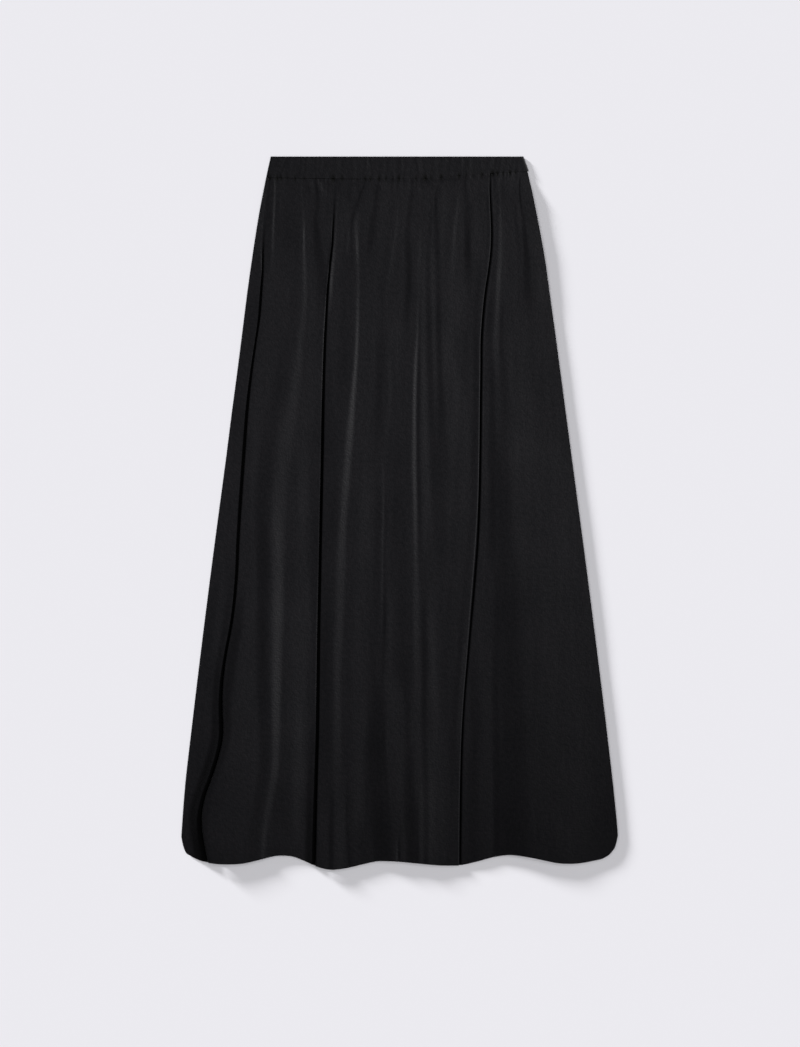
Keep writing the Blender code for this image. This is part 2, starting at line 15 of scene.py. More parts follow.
import bpy
import numpy as np
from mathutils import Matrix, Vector


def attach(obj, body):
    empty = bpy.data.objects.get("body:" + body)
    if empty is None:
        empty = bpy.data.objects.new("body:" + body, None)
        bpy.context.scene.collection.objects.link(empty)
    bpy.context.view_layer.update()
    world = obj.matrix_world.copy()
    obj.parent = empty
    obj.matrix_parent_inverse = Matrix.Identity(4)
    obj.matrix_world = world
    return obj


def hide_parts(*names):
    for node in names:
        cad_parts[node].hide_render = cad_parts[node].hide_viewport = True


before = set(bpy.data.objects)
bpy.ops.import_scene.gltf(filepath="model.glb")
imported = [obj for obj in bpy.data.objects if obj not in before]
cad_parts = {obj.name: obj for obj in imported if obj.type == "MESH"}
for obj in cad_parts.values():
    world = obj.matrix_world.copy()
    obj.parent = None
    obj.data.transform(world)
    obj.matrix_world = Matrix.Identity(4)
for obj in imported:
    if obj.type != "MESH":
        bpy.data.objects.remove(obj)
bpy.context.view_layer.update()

# %% [markdown]
# ## Sizes
#
# Sizes are in millimetres, as a maker would take them. "Down" is the distance from the top of the
# waistband towards the hem, "across" is to the right of the middle, and "fall" is the share of
# the way from the waist seam to the hem. The walls lie where the solids have them, so the cloth
# fits its frame with nothing to adjust.

# %% Driving sizes
MM = 0.001
LENGTH = 950.0
CLOTH = 0.5              # crepe with its little loft; the solid's wall is 1 mm thick
BACK_WALL = 1.0
BAND_WALL = 2.0          # two layers of crepe with the elastic between them
SEAM_GAP = 0.3           # between the two halves of the closed waistband
SEAM_SLIT = 0.12         # that the stitches leave between the band and the panels
REST = 1.8               # mid cloth of the front where it lies on the back
BAND_MID = 3.3           # mid wall of the front half of the waistband
SEAM_MEAN = 27.0
HEM_MEAN = 939.0
BACK_HEM_SHORTER = 1.5
BACK_SEAM_HIGHER = 1.2   # the back seam lies a little above the front one
print("skirt", LENGTH, "mm long, panels", HEM_MEAN - SEAM_MEAN, "mm from seam to hem")

# %% Tables with named columns
def table(kind, *rows):
    """Rows with named columns. A short row keeps the last values of the row above it."""
    full = []
    for row in rows:
        kept = full[-1][len(row):] if full else ()
        full.append(kind(*row, *kept))
    return full


def column(rows, name):
    return [getattr(row, name) for row in rows]


Size = namedtuple("Size", "length thickness")
print("a table of two rows:", table(Size, (LENGTH, CLOTH), (HEM_MEAN,)))

# %% [markdown]
# ## The outline
#
# An A-line skirt is nearly straight at its sides: it is its hem that waves, because the cloth
# lies in soft flutes. The waist seam isn't straight either. It climbs towards one side, where the
# elastic has pulled the band up. Each of these lines is a few places with a smooth curve through
# them, so a line needs only the points that its shape needs.

# %% Curves through a few places
def ease(share):
    """A soft step from 0 to 1."""
    t = np.clip(share, 0.0, 1.0)
    return t * t * (3.0 - 2.0 * t)


def through(stations, values, at):
    """A smooth curve through the values at the stations."""
    stations = np.asarray(stations, float)
    values = np.asarray(values, float)
    slopes = np.gradient(values, stations)
    at = np.clip(at, stations[0], stations[-1])
    i = np.clip(np.searchsorted(stations, at, side="right") - 1, 0, len(stations) - 2)
    width = stations[i + 1] - stations[i]
    t = (at - stations[i]) / width
    return ((1 + 2 * t) * (1 - t) ** 2 * values[i] + t * (1 - t) ** 2 * width * slopes[i]
            + t * t * (3 - 2 * t) * values[i + 1] + t * t * (t - 1) * width * slopes[i + 1])


def smooth(rows, name, at, by="down"):
    """The value in a column at a place, on a smooth curve through the rows."""
    return through(column(rows, by), column(rows, name), at)


def straight(rows, name, at, by="down"):
    """The same on straight lines from row to row."""
    return np.interp(at, column(rows, by), column(rows, name))


Side = namedtuple("Side", "down left right")
SIDES = table(Side,
    (0, -171.5, 165.1), (21, -176.3, 170.7), (44, -180.9, 176), (64, -184.9, 180.2),
    (104, -191.7, 188), (144, -197.7, 194.9), (184, -203.3, 200.4), (224, -208.3, 206),
    (284, -215.9, 214), (344, -223.9, 222), (404, -231.5, 229.9), (484, -242.2, 240.6),
    (564, -252.7, 251.1), (664, -265.3, 263.8), (764, -277.3, 276.1), (844, -286.3, 285.3),
    (884, -289.4, 289.3), (904, -290.7, 290.9), (918, -291.2, 291.2))

Line = namedtuple("Line", "across down")
WAIST_SEAM = table(Line,
    (-179, 28), (-26, 29.6), (34, 28.6), (108, 23.2), (172, 19.6))
HEM = table(Line,
    (-291.4, 903), (-289.6, 914), (-286.2, 925.2), (-279, 932), (-270.2, 936.5), (-254.2, 940.6),
    (-222.2, 942.8), (-206.1, 941.5), (-190.1, 937.9), (-158.1, 931.6), (-142.1, 933.1),
    (-126.1, 939.2), (-110.1, 945.8), (-94.1, 949.8), (-78.1, 949.2), (-46, 942.4), (-30, 939.1),
    (-14, 938.7), (18, 941.1), (66, 944.9), (82.1, 944.3), (98.1, 940.9), (130.1, 932.7),
    (146.1, 930.6), (162.1, 931.8), (194.1, 937.8), (210.1, 941.1), (226.2, 942.2), (258.2, 938.5),
    (274.2, 933.8), (283, 926.5), (288.6, 916), (291.2, 904))


def side(name, down):
    return smooth(SIDES, name, down)


def waist_seam(across):
    return smooth(WAIST_SEAM, "down", across, by="across")


def hem(across):
    return smooth(HEM, "down", across, by="across")


def down_at(across, fall):
    top = waist_seam(across) + SEAM_SLIT
    return top + fall * (hem(across) - top)


CROSSING_ROUNDS = 12


def crossing(rows, name, fall):
    """Where a line down the skirt crosses the section at one fall, found by coming closer."""
    down = SEAM_MEAN + fall * (HEM_MEAN - SEAM_MEAN)
    for _ in range(CROSSING_ROUNDS):
        across = float(smooth(rows, name, down))
        down = float(down_at(across, fall))
    return across, down


def side_at_fall(name, fall):
    return crossing(SIDES, name, fall)[0]


def width_at(down):
    return float(side("right", down) - side("left", down))


print("waist", width_at(0), "mm, hem", width_at(915), "mm")

# %% [markdown]
# ## Three long folds
#
# Three long folds overlap: the cloth turns under, runs back and turns again, as an S seen from
# the hem. From above only a narrow dark mouth shows, with a rolled edge on the upper cloth and a
# lip on the lower cloth. Each fold is a row of places down the skirt, with the width of its mouth
# at each, and it wanders as a fold does that was smoothed out by hand.

# %% Table of folds
Roll = namedtuple("Roll", "down radius")     # of the rolled edge, at mid cloth
Fold = namedtuple("Fold", "name on_top starts formed overlap rolls path")
Mouth = namedtuple("Mouth", "down across width lip")
FOLDS = (
    Fold("left", 1, 70, 260, 14,
         table(Roll,
               (27, 0.4), (110, 0.55), (220, 0.7), (310, 0.95), (640, 1), (720, 1.15), (830, 1.4),
               (950, 1.35)),
         table(Mouth,
               (28, -172, 0.8, 0.1), (84, -178.6, 1.2), (104, -180.6), (124, -181.7, 1.2, 0.2),
               (151, -182.2, 1.7, 0.8), (177, -183.4, 1.2, 0.9), (211, -185.8, 1.3),
               (244, -190.9, 1.7), (284, -196.8, 2.5, 0.8), (324, -201.4, 2.6, 0.7),
               (404, -207.4, 2.6, 0.6), (457, -211.2, 2.6, 0.5), (511, -214.7), (564, -217.2, 2.8),
               (618, -222.6, 2, 0.6), (671, -232, 1.4, 0.8), (698, -235.1, 1.2), (724, -236.2, 1),
               (778, -236.1), (818, -246.5), (858, -260.2), (878, -263.4), (898, -262.7),
               (924, -258.4), (946, -253.3))),
    Fold("centre left", 1, 36, 200, 20,
         table(Roll,
               (27, 0.4), (110, 0.5), (160, 0.65), (220, 0.9), (310, 1), (720, 1), (860, 1.25),
               (950, 1.3)),
         table(Mouth,
               (28, -86.6, 1.2, 0), (64, -86.8), (84, -87.6, 1.2, 0.1), (97, -88.4, 1.3, 0.3),
               (104, -88.5, 1.1, 0.6), (117, -89, 1.1, 1), (130, -90.4, 1.3, 1.1),
               (151, -92.9, 2, 1), (177, -95.4, 2.6, 1.2), (211, -97.5, 2.7, 1.3),
               (244, -99.2, 2.8), (284, -100.5), (404, -102.8, 2.8, 1.2), (511, -105.1),
               (564, -106.2, 3.1, 1.1), (618, -107.5, 3.6, 1), (724, -108.9, 3.9, 0.8),
               (778, -109.3, 3), (818, -110.1, 2.2), (858, -110.8, 1.6), (948, -112.5))),
    Fold("centre right", -1, 16, 30, 17,
         table(Roll,
               (27, 0.2), (150, 0.35), (300, 0.75), (457, 1), (950, 1)),
         table(Mouth,
               (20, 120.4, 1, 1), (44, 120.2, 1.5, 1.9), (64, 121, 1.7, 2.4), (84, 122, 1.9, 2.9),
               (104, 122.5, 2, 3), (124, 121.8, 2.1), (151, 118.8, 2.2), (177, 114.8, 2.4),
               (211, 111.2, 2.5, 2.9), (244, 109, 2.6, 2.8), (284, 108.6, 2.5, 2.6),
               (324, 108, 2.5, 2.4), (404, 107.2, 2.6, 2.2), (457, 106, 2.8, 2.1),
               (511, 103.4, 3.4, 2), (564, 99.4, 3.2), (618, 94.8, 2.9, 1.9), (671, 90.4, 2.3),
               (724, 86, 2.1, 1.7), (778, 83, 2.2, 1.9), (818, 81.8, 2.3), (946, 80.2, 2.4))),
)
print("folds:", [fold.name for fold in FOLDS])

# %% [markdown]
# ## One section of the front
#
# A section is a row of points from the left side to the right. Between two folds the cloth is one
# field: a gentle slope from the upper cloth of one fold to the lip of the next. At a fold the
# section follows two rolls and the turned layer between them. Near the waist the rolls have turned
# only part of the way, which is how a pressed fold opens out of a gathered seam.

# %% One fold
SEAM_REACH = 200.0               # from the seam to where the waistband no longer holds the cloth up
LOFT_REACH = 25.0                # from the seam to where the cloth has all its height
OVERLAP_REACH = 450.0            # over which the cloth tucked under a fold comes to its full width
LEAST_LAYER = 1.0
LEAST_TURN = 0.05                # radians
ROLL_STEPS = 8


def seam_height(down):
    """The waistband holds the cloth up near the seam."""
    return (BAND_MID - REST) * (1.0 - float(ease((down - SEAM_MEAN) / SEAM_REACH)))


def loft(down):
    """The share of its full height that the cloth has reached."""
    return float(ease((down - SEAM_MEAN) / LOFT_REACH))


def roll(fold, down):
    """Radius of a fold's rolled edge: tight at the seam, rounder below."""
    return float(smooth(fold.rolls, "radius", down))


def shaped(fold, down):
    """The share of its S that a fold has formed."""
    return float(ease((down - fold.starts) / (fold.formed - fold.starts)))


def fold_place(fold, fall):
    across, down = crossing(fold.path, "across", fall)
    return across, float(smooth(fold.path, "width", down)), down


def fold_lip(fold, down):
    """How high the lower cloth stands at a fold's mouth."""
    return float(straight(fold.path, "lip", down))


def fold_curve(fold, fall):
    """The S of one fold, from left to right, as across and height over the rest."""
    across, width, down = fold_place(fold, fall)
    turn = max(math.pi * shaped(fold, down), LEAST_TURN)
    layer = LEAST_LAYER + fold.overlap * float(ease((down - fold.formed) / OVERLAP_REACH))
    radius = math.pi * roll(fold, down) / turn
    angles = np.linspace(0.0, turn, ROLL_STEPS + 1)
    lower = np.column_stack((radius * np.sin(angles), radius * (1 - np.cos(angles))))
    end = lower[-1] + layer * np.array((math.cos(turn), math.sin(turn)))
    back = angles[::-1]
    upper = np.column_stack((end[0] + radius * (math.sin(turn) - np.sin(back)),
                             end[1] + radius * (np.cos(back) - math.cos(turn))))
    curve = np.vstack((lower, upper))
    edge = upper[:, 0].min()
    curve[:, 0] += width / 2 - edge
    if fold.on_top < 0:
        curve = curve[::-1] * (-1.0, 1.0)
    curve[:, 0] += across
    curve[:, 1] += seam_height(down)
    return curve


print("points across a fold:", len(fold_curve(FOLDS[0], 1.0)))

# %% The field of cloth between two folds
SIDE_LEVELS = {"left": 0.5, "right": 3.2}        # height of the side edges over their rest
SIDE_HOLD = 0.5
TOP_DROP = 0.2                   # how far the upper cloth sinks beyond a fold
LIP_ROUND = 2.6                  # over which the lower cloth dives into a fold
EDGE_REACH = 14.0
Edge = namedtuple("Edge", "place height level hold lip")


def field_edges(index, fall):
    """The left and the right edge of one field of cloth."""
    edges = []
    for side_name, fold_index, way in (("left", index - 1, 1), ("right", index, -1)):
        if fold_index < 0 or fold_index >= len(FOLDS):
            place = side_at_fall(side_name, fall)
            down = float(down_at(place, fall))
            level = SIDE_LEVELS[side_name] * loft(down) + seam_height(down)
            edges.append(Edge(place, level, level, SIDE_HOLD, None))
            continue
        fold = FOLDS[fold_index]
        across, width, down = fold_place(fold, fall)
        curve = fold_curve(fold, fall)
        place, height = curve[-1] if way > 0 else curve[0]
        if fold.on_top == way:
            hold = (curve[:, 0].max() - curve[:, 0].min()) * loft(down)
            level = height - TOP_DROP * shaped(fold, down)
            edges.append(Edge(place, height, level, hold, None))
        else:
            lip = across - fold.on_top * width / 2
            level = fold_lip(fold, down) + seam_height(down)
            edges.append(Edge(place, height, level, abs(lip - place), lip))
    return edges


def field_height(x, edges):
    """Height of a field's cloth over its rest."""
    left, right = edges
    share = (x - left.place) / (right.place - left.place)
    height = left.level + (right.level - left.level) * ease(share)
    for edge in edges:
        away = np.abs(x - edge.place) - edge.hold
        if edge.lip is None:
            gone = ease(away / EDGE_REACH)
        else:
            gone = ease((away + LIP_ROUND / 2) / LIP_ROUND)
        height = height + (edge.height - edge.level) * (1.0 - gone)
    return np.maximum(height, 0.0)


for index in range(len(FOLDS) + 1):
    left, right = field_edges(index, 1.0)
    print("field", index, "is", round(float(right.place - left.place), 1), "mm wide at the hem")

# %% Columns of a section
WIDEST_COLUMN = 1.45
WIDEST_HIDDEN = 4.5
LEAST_COLUMN = 0.4
COUNT_SECTIONS = 24
LIP_COLUMNS = (1.0, 0.5, 0.17, -0.17, -0.5)      # columns through a lip, in shares of its rounding


def field_guides(edges):
    """Places that one field's columns follow, and the widest that each gap between them may be."""
    left, right = edges
    places = [left.place]
    widest = []
    if left.lip is not None:
        places += [left.lip + LIP_ROUND * share for share in reversed(LIP_COLUMNS)]
        widest += [WIDEST_HIDDEN] + [WIDEST_COLUMN] * (len(LIP_COLUMNS) - 1)
    widest.append(WIDEST_COLUMN)
    if right.lip is not None:
        places += [right.lip - LIP_ROUND * share for share in LIP_COLUMNS]
        widest += [WIDEST_COLUMN] * (len(LIP_COLUMNS) - 1) + [WIDEST_HIDDEN]
    low = left.place
    high = right.place
    inner = np.clip(np.array(places[1:]), low + LEAST_COLUMN, high - LEAST_COLUMN)
    for i in range(1, len(inner)):
        inner[i] = max(inner[i], inner[i - 1] + LEAST_COLUMN)
    for i in range(len(inner) - 1, -1, -1):
        inner[i] = min(inner[i], high - LEAST_COLUMN * (len(inner) - i))
    return np.concatenate(([low], inner, [high])), widest


def column_counts(index):
    """How many columns each gap between two guides needs, the same all the way down."""
    counts = 1
    for fall in np.linspace(0.0, 1.0, COUNT_SECTIONS):
        places, widest = field_guides(field_edges(index, fall))
        counts = np.maximum(counts, np.ceil(np.diff(places) / widest).astype(int))
    return counts


COUNTS = [column_counts(index) for index in range(len(FOLDS) + 1)]


def front_section(fall):
    """The whole front at one fall, from the left side to the right, as across and height."""
    points = []
    last = len(FOLDS)
    for index, counts in enumerate(COUNTS):
        edges = field_edges(index, fall)
        guides, _ = field_guides(edges)
        x = [np.linspace(a, b, n, endpoint=False) for a, b, n in zip(guides, guides[1:], counts)]
        x = np.append(np.concatenate(x), guides[-1])
        inner = slice(1 if index > 0 else 0, -1 if index < last else None)
        points.append(np.column_stack((x, field_height(x, edges)))[inner])
        if index < last:
            points.append(fold_curve(FOLDS[index], fall))
    return np.vstack(points)


print("columns in a section:", len(front_section(0.5)))

# %% [markdown]
# ## Gathers, pits and tucks at the waist
#
# Elastic gathers cloth unevenly. The seam is a row of small pits, where the stitches pull the
# cloth in and a little open, some much deeper than others. Between them the cloth puckers
# faintly. Short tucks run down from the seam on the panel, and a few fine creases slant up the
# band. A formula gives the faint puckers; the pits, tucks and creases are listed one by one.

# %% Gathers
GATHERS = 30
Drift = namedtuple("Drift", "amount length phase")
BEAT_DRIFTS = table(Drift, (0.55, 31, 0), (0.35, 13, 1))
DEPTH_DRIFT = Drift(0.45, 17, 0.6)
REACH_DRIFTS = table(Drift, (0.45, 9, 0), (0.25, 4.1, 2))
GATHER_RISE = 0.16
GATHER_REACH = 9.0
LEAST_REACH = 4.0
SECOND_GATHER = 0.6              # a faster wave on top, as a share of the first
SECOND_PACE = 1.9
SECOND_DRIFT = 11.0


def drifting(value, drifts, x):
    """A value that drifts slowly along the waist."""
    for drift in drifts:
        value = value + drift.amount * np.sin(x / drift.length + drift.phase)
    return value


def gather_phase(x):
    """Phase of the uneven gathers along the waist, the same on the waistband and the panel."""
    return 2 * math.pi * drifting(GATHERS * x / width_at(SEAM_MEAN), BEAT_DRIFTS, x)


def gather_wave(x, below_seam):
    """Height of the gathers on the panel, which fade away under the seam."""
    wander = DEPTH_DRIFT.amount * np.sin(x / DEPTH_DRIFT.length + DEPTH_DRIFT.phase)
    depth = GATHER_RISE * (1.0 - DEPTH_DRIFT.amount + wander)
    length = GATHER_REACH * drifting(1.0, REACH_DRIFTS, x)
    phase = gather_phase(x)
    wave = np.sin(phase) + SECOND_GATHER * np.sin(SECOND_PACE * phase + x / SECOND_DRIFT)
    return depth * wave * np.exp(-below_seam / np.maximum(length, LEAST_REACH))


print(GATHERS, "gathers on", round(width_at(SEAM_MEAN)), "mm of seam")

# %% Pixels of the frame
SKIRT_ROWS = 712                 # rows of the frame that the skirt takes up
PIXEL = LENGTH / SKIRT_ROWS      # mm
TOP_Y = 157.2                    # row of the frame where the waistband starts
MIDDLE_X = 399.5                 # column of the frame that the skirt's middle falls on

# %% Pits of the seam
PitMark = namedtuple("PitMark", "x size")        # size 1 is a plain stitch's pit
Pit = namedtuple("Pit", "across size")
PIT_MARKS = table(PitMark,
    (269, 1.9), (277, 0.8), (281, 0.75), (288, 0.3), (295, 0.7), (304, 0.25), (316, 0.35),
    (324, 0.25), (333, 2), (342, 1.05), (352, 0.3), (357, 0.25), (365, 0.9), (370, 0.8),
    (379, 0.85), (386, 0.4), (393, 0.4), (399, 1.05), (403, 0.35), (416, 0.6), (425, 2),
    (431, 0.4), (441, 1.2), (451, 0.25), (459, 1.2), (466, 0.45), (473, 0.3), (482, 0.75),
    (492, 2), (497, 1.3), (503, 0.6), (509.5, 1.1), (515, 0.5))
PITS = [Pit(round((mark.x - MIDDLE_X) * PIXEL, 1), mark.size) for mark in PIT_MARKS]
PIT_DEPTH = 0.25
PIT_OPEN = 0.35          # how far a pit opens the seam
PIT_WIDE = 1.35
PIT_TALL = 3.0
PIT_LEAST = 0.6          # share of its width that the smallest pit keeps
PIT_DEEPEST = 1.8
# painted shade: how quickly the cloth's colour is painted darker towards the middle of a pit
PAINTED_PIT_DARKNESS = 2.6


def pit_shape(x, from_seam):
    """How strongly the pits along the seam act at given places."""
    shape = np.zeros_like(x)
    for pit in PITS:
        width = PIT_WIDE * (PIT_LEAST + (1.0 - PIT_LEAST) * pit.size)
        shape += pit.size * np.exp(-((x - pit.across) / width) ** 2)
    return np.minimum(shape, PIT_DEEPEST) * np.exp(-(from_seam / PIT_TALL) ** 2)


def painted_pit_shade(x, from_seam):
    """Painted shade in the pits, 0 outside them and 1 at their bottom."""
    return np.minimum(PAINTED_PIT_DARKNESS * pit_shape(x, from_seam), 1.0)


print(len(PITS), "pits")

# %% Short tucks
Tuck = namedtuple("Tuck", "across length rise way")     # way -1 turns its steep flank left
TUCKS = table(Tuck,
    (-142, 14, 0.1, -1), (-138, 16, 0.1, -1), (-124.1, 26, 0.18, -1), (-98, 20, 0.15, -1),
    (-56, 14, 0.1, -1), (-18, 14, 0.1, 1), (-10, 30, 0.12, -1), (2.7, 30, 0.14, 1),
    (38, 16, 0.24, -1), (43.4, 17, 0.24, -1), (63.4, 14, 0.1, 1), (105.4, 20, 0.18, 1),
    (112.7, 14, 0.12, -1), (130.1, 16, 0.26, -1), (143.4, 20, 0.22, -1), (151.4, 12, 0.12, 1))
TUCK_STEEP = 2.4
TUCK_GENTLE = 9.0


def leaning(offset, left, right):
    """A crest with two unlike flanks: 1 on its top, 0 beyond them."""
    return 1.0 - ease(np.where(offset < 0, -offset / left, offset / right))


def tuck_height(x, below_seam):
    """Height of the short tucks that run down from the seam."""
    height = np.zeros_like(x)
    for tuck in TUCKS:
        share = below_seam / tuck.length
        crest = tuck.across - tuck.way * TUCK_STEEP / 2
        shape = leaning((x - crest) * tuck.way, TUCK_GENTLE, TUCK_STEEP)
        height += tuck.rise * shape * (1.0 - ease(share))
    return height


print(len(TUCKS), "tucks")

# %% Fine creases of the band
BandLine = namedtuple("BandLine", "bottom top rise width")
BAND_LINES = table(BandLine,
    (-161, -151, -0.2, 1.7), (-131, -129, 0.08, 1.8), (-124, -124.5, 0.09, 1.7),
    (-111, -110, 0.13, 1.6), (-101, -102, -0.09, 1.7), (-78, -77, -0.12, 2.2),
    (-60, -62, 0.07, 2.4), (-47, -43, 0.13, 1.6), (-37, -41, -0.18, 1.6), (-19, -18, -0.08, 2.2),
    (-5, -5.5, -0.09, 1.8), (3.5, 1.5, 0.12, 1.6), (28, 22, 0.2, 1.5), (34, 29, -0.1, 1.6),
    (48, 47, 0.07, 2.2), (64, 66, -0.08, 2.2), (83, 81.5, 0.18, 1.5), (88, 87, -0.09, 1.5),
    (94.5, 92.5, 0.13, 1.5), (112, 111, -0.1, 1.8), (126, 127, -0.14, 1.7), (134, 136, 0.09, 1.8),
    (148, 150, -0.09, 1.8))
BAND_LIFT = 1.35         # all of them stand this much higher than first drawn
BAND_LEAST = 0.35        # share of its rise that a line keeps at the top of the band
BAND_SHIFT = 0.15


def band_crease_height(x, share):
    """Height of the fine creases of the band, share being 0 at its top and 1 at the seam."""
    height = np.zeros_like(x)
    for line in BAND_LINES:
        place = line.top + (line.bottom - line.top) * share
        rise = round(line.rise * BAND_LIFT, 2)
        height += rise * np.exp(-((x - place) / line.width) ** 2)
    swell = math.sin(math.pi * min(share + BAND_SHIFT, 1.0))
    return height * (BAND_LEAST + (1.0 - BAND_LEAST) * swell)


print(len(BAND_LINES), "fine creases on the band")

# %% [markdown]
# ## Long creases
#
# A crease in soft cloth leans: one flank is steep and shows as a line, and the other runs out
# slowly. The lamp stands to the right, so a steep flank that faces right gleams and one that
# faces left is shaded. Each crease is listed where its line should show, in the frame's own
# pixels. Functions then give it its real sizes: how steep the flank must be for a line of that
# strength, and from that the rise of its crest.

# %% From a line that shows to a leaning crest
Step = namedtuple("Step", "strength steepness")         # strength in tones of 255
GLEAM = table(Step,
    (0, 0), (2.3, 0.05), (5.1, 0.1), (8.3, 0.15), (11.7, 0.2), (15.3, 0.25), (18.6, 0.3),
    (24.3, 0.4), (27, 0.5))
SHADE = table(Step,
    (0, 0), (2.1, 0.05), (3.9, 0.1), (5.6, 0.15), (7, 0.2), (9.8, 0.3), (12.3, 0.4),
    (14.8, 0.5), (17.5, 0.6))
GROOVE = ()                      # a fine groove with two like flanks, its strength a depth in mm
CLOTH_TONE = 28                  # of plain cloth near the waist
DARKER_FROM = 560                # row from which the light falls off
DARKER_BY = 7 / 300              # tones a row
STEEPER_FROM = 700               # row from which the creases stand up towards the hem
STEEPER_OVER = 100
STEEPER_BY = 0.35
LINE_TO_FLANK = 1.414            # a flank is wider than the line that it shows as
STEEPEST = 1.5                   # the middle of an eased flank against its average
HANGING = 36                     # a shaded crease by the waist runs out at least so far, in pixels
HANGING_TO = 300                 # row down to which it does
HANGING_OVER = 40                # rows below that, over which it comes down
HANGING_LOSS = 12                # by so many pixels
SLIGHT_RUN = 9                   # a crease with less is a small mark and keeps it
SLIGHT_RUN_BELOW = 12            # the same below HANGING_TO


def steepness(look, strength, y):
    """How steep a flank has to be to show this strongly at this row."""
    tone = CLOTH_TONE if y < DARKER_FROM else CLOTH_TONE - (y - DARKER_FROM) * DARKER_BY
    steeper = 1 + STEEPER_BY * max(0, min(1, (y - STEEPER_FROM) / STEEPER_OVER))
    shows = strength * CLOTH_TONE / tone * steeper
    return straight(look, "steepness", shows, by="strength")


def run_out(look, mark):
    """Width of the slow flank, in pixels."""
    if look is SHADE and mark.y < HANGING_TO and mark.run >= SLIGHT_RUN:
        return HANGING
    if look is SHADE and mark.y < HANGING_TO + HANGING_OVER and mark.run >= SLIGHT_RUN_BELOW:
        return max(mark.run, HANGING - (mark.y - HANGING_TO) / HANGING_OVER * HANGING_LOSS)
    return mark.run


Mark = namedtuple("Mark", "y x strength width run")         # of a line, in the frame's pixels
Spot = namedtuple("Spot", "down crest rise left right")     # of a crest, in millimetres
Crease = namedtuple("Crease", "name path")


def to_spot(look, mark):
    """One place of a crest, rounded as a maker would note it."""
    down = (mark.y - TOP_Y) * PIXEL
    line = (mark.x - MIDDLE_X) * PIXEL
    run = run_out(look, mark) * PIXEL
    steep = mark.width * LINE_TO_FLANK * PIXEL
    if look is GROOVE:
        rise = -mark.strength
        crest, left, right = line, mark.width * PIXEL, mark.width * PIXEL
    else:
        rise = float(steepness(look, mark.strength, mark.y)) * steep / STEEPEST
        if look is GLEAM:
            crest, left, right = line - steep / 2, run, steep
        else:
            crest, left, right = line + steep / 2, steep, run
    return Spot(round(down), round(crest, 1), round(rise, 2), round(left, 1), round(right, 1))


def crease(name, look, *marks):
    return Crease(name, [to_spot(look, mark) for mark in table(Mark, *marks)])


def list_creases(creases):
    print(len(creases), "creases, from", creases[0].name, "to", creases[-1].name)


print("a line of 10 tones needs a flank with a slope of", steepness(GLEAM, 10, TOP_Y))

# %% Creases left of the centre-left fold
LEFT_CREASES = [
    crease("left fold lift", SHADE,
        (560, 233, 0, 5, 50), (590, 231, 3, 5, 60), (620, 226.5, 5.5, 5, 80),
        (660, 220, 6, 5, 90), (700, 215.5, 8, 6, 100), (740, 214.5, 9, 7, 105),
        (770, 206.5, 11, 7.5, 110), (785, 201.5, 11, 8), (800, 196, 9), (825, 193.5, 8),
        (850, 197.5, 8, 7.5), (866, 201, 7, 7)),
    crease("strip", GLEAM,
        (530, 223, 0, 4, 6), (560, 222, 2, 3, 5), (580, 223, 3), (600, 221, 2.5, 5, 6),
        (640, 218, 2, 8, 8), (670, 214, 0)),
    crease("after left mouth", SHADE,
        (580, 243, 0, 8, 60), (600, 241, 3.5), (620, 238.5, 7.5, 9, 80), (660, 232, 8),
        (700, 227, 8.5), (740, 226, 6.5, 8), (780, 214, 3.5, 6, 64), (810, 206, 2.5),
        (866, 206, 2)),
    crease("left fine", GLEAM,
        (178, 275, 9, 1.7, 12), (187, 275, 15), (200, 274.6), (215, 274, 20, 1.7, 10),
        (225, 273.5, 19, 1.7, 9), (235, 273.2, 14, 2), (250, 273, 8, 2.5), (270, 272, 2, 3),
        (290, 272, 0)),
    crease("left long", GLEAM,
        (178, 302, 1, 2, 14), (195, 302, 4, 2.2), (205, 302.6, 3, 2.2, 18),
        (215, 303.4, 6, 2, 24), (225, 303.9, 12, 2, 26), (235, 304, 19, 2, 28),
        (250, 304, 17, 2.2), (270, 304.7, 12, 3, 26), (290, 305.3, 7, 4, 18),
        (315, 304, 5, 4.5, 14), (340, 301, 6, 5, 16), (370, 297.5, 5, 8, 18), (400, 293, 5, 10),
        (430, 288, 5, 12), (460, 284, 6), (500, 280, 8, 13), (540, 278.6, 13, 11, 16),
        (580, 278.6, 14, 10), (620, 278, 13.5), (660, 277.3, 14.5, 9, 15), (700, 276.8, 14, 8),
        (740, 276.6, 11, 7, 14), (770, 275.4, 12, 6.5), (800, 270.5, 10, 6), (825, 265.3, 9, 3.5),
        (866, 262, 6, 3.5, 13)),
    crease("soft before left fold", GLEAM,
        (440, 303, 0, 12, 24), (480, 304, 2.5, 10), (560, 304, 2.5, 12), (640, 303),
        (720, 300, 3.5), (780, 299, 4), (815, 297, 4, 10), (845, 300, 1)),
    crease("small trough before the left fold", SHADE,
        (182, 308, 3, 2, 5), (190, 309, 4), (198, 310, 0)),
    crease("centre fold lift", SHADE,
        (720, 313, 0, 6, 30), (745, 312, 3), (780, 310.5, 5, 5.5, 34), (805, 309.8, 6, 6, 38),
        (830, 309.5, 7, 6.5, 40), (866, 308.5)),
    crease("trough before the centre-left fold", SHADE,
        (182, 316, 7, 2.5, 6), (190, 317, 8), (205, 318, 5, 3, 12), (220, 315.5, 6, 4, 14),
        (235, 317, 7, 6), (250, 318, 6, 6.5, 12), (270, 321, 5, 8, 6), (290, 322, 3),
        (305, 321, 0)),
]
list_creases(LEFT_CREASES)

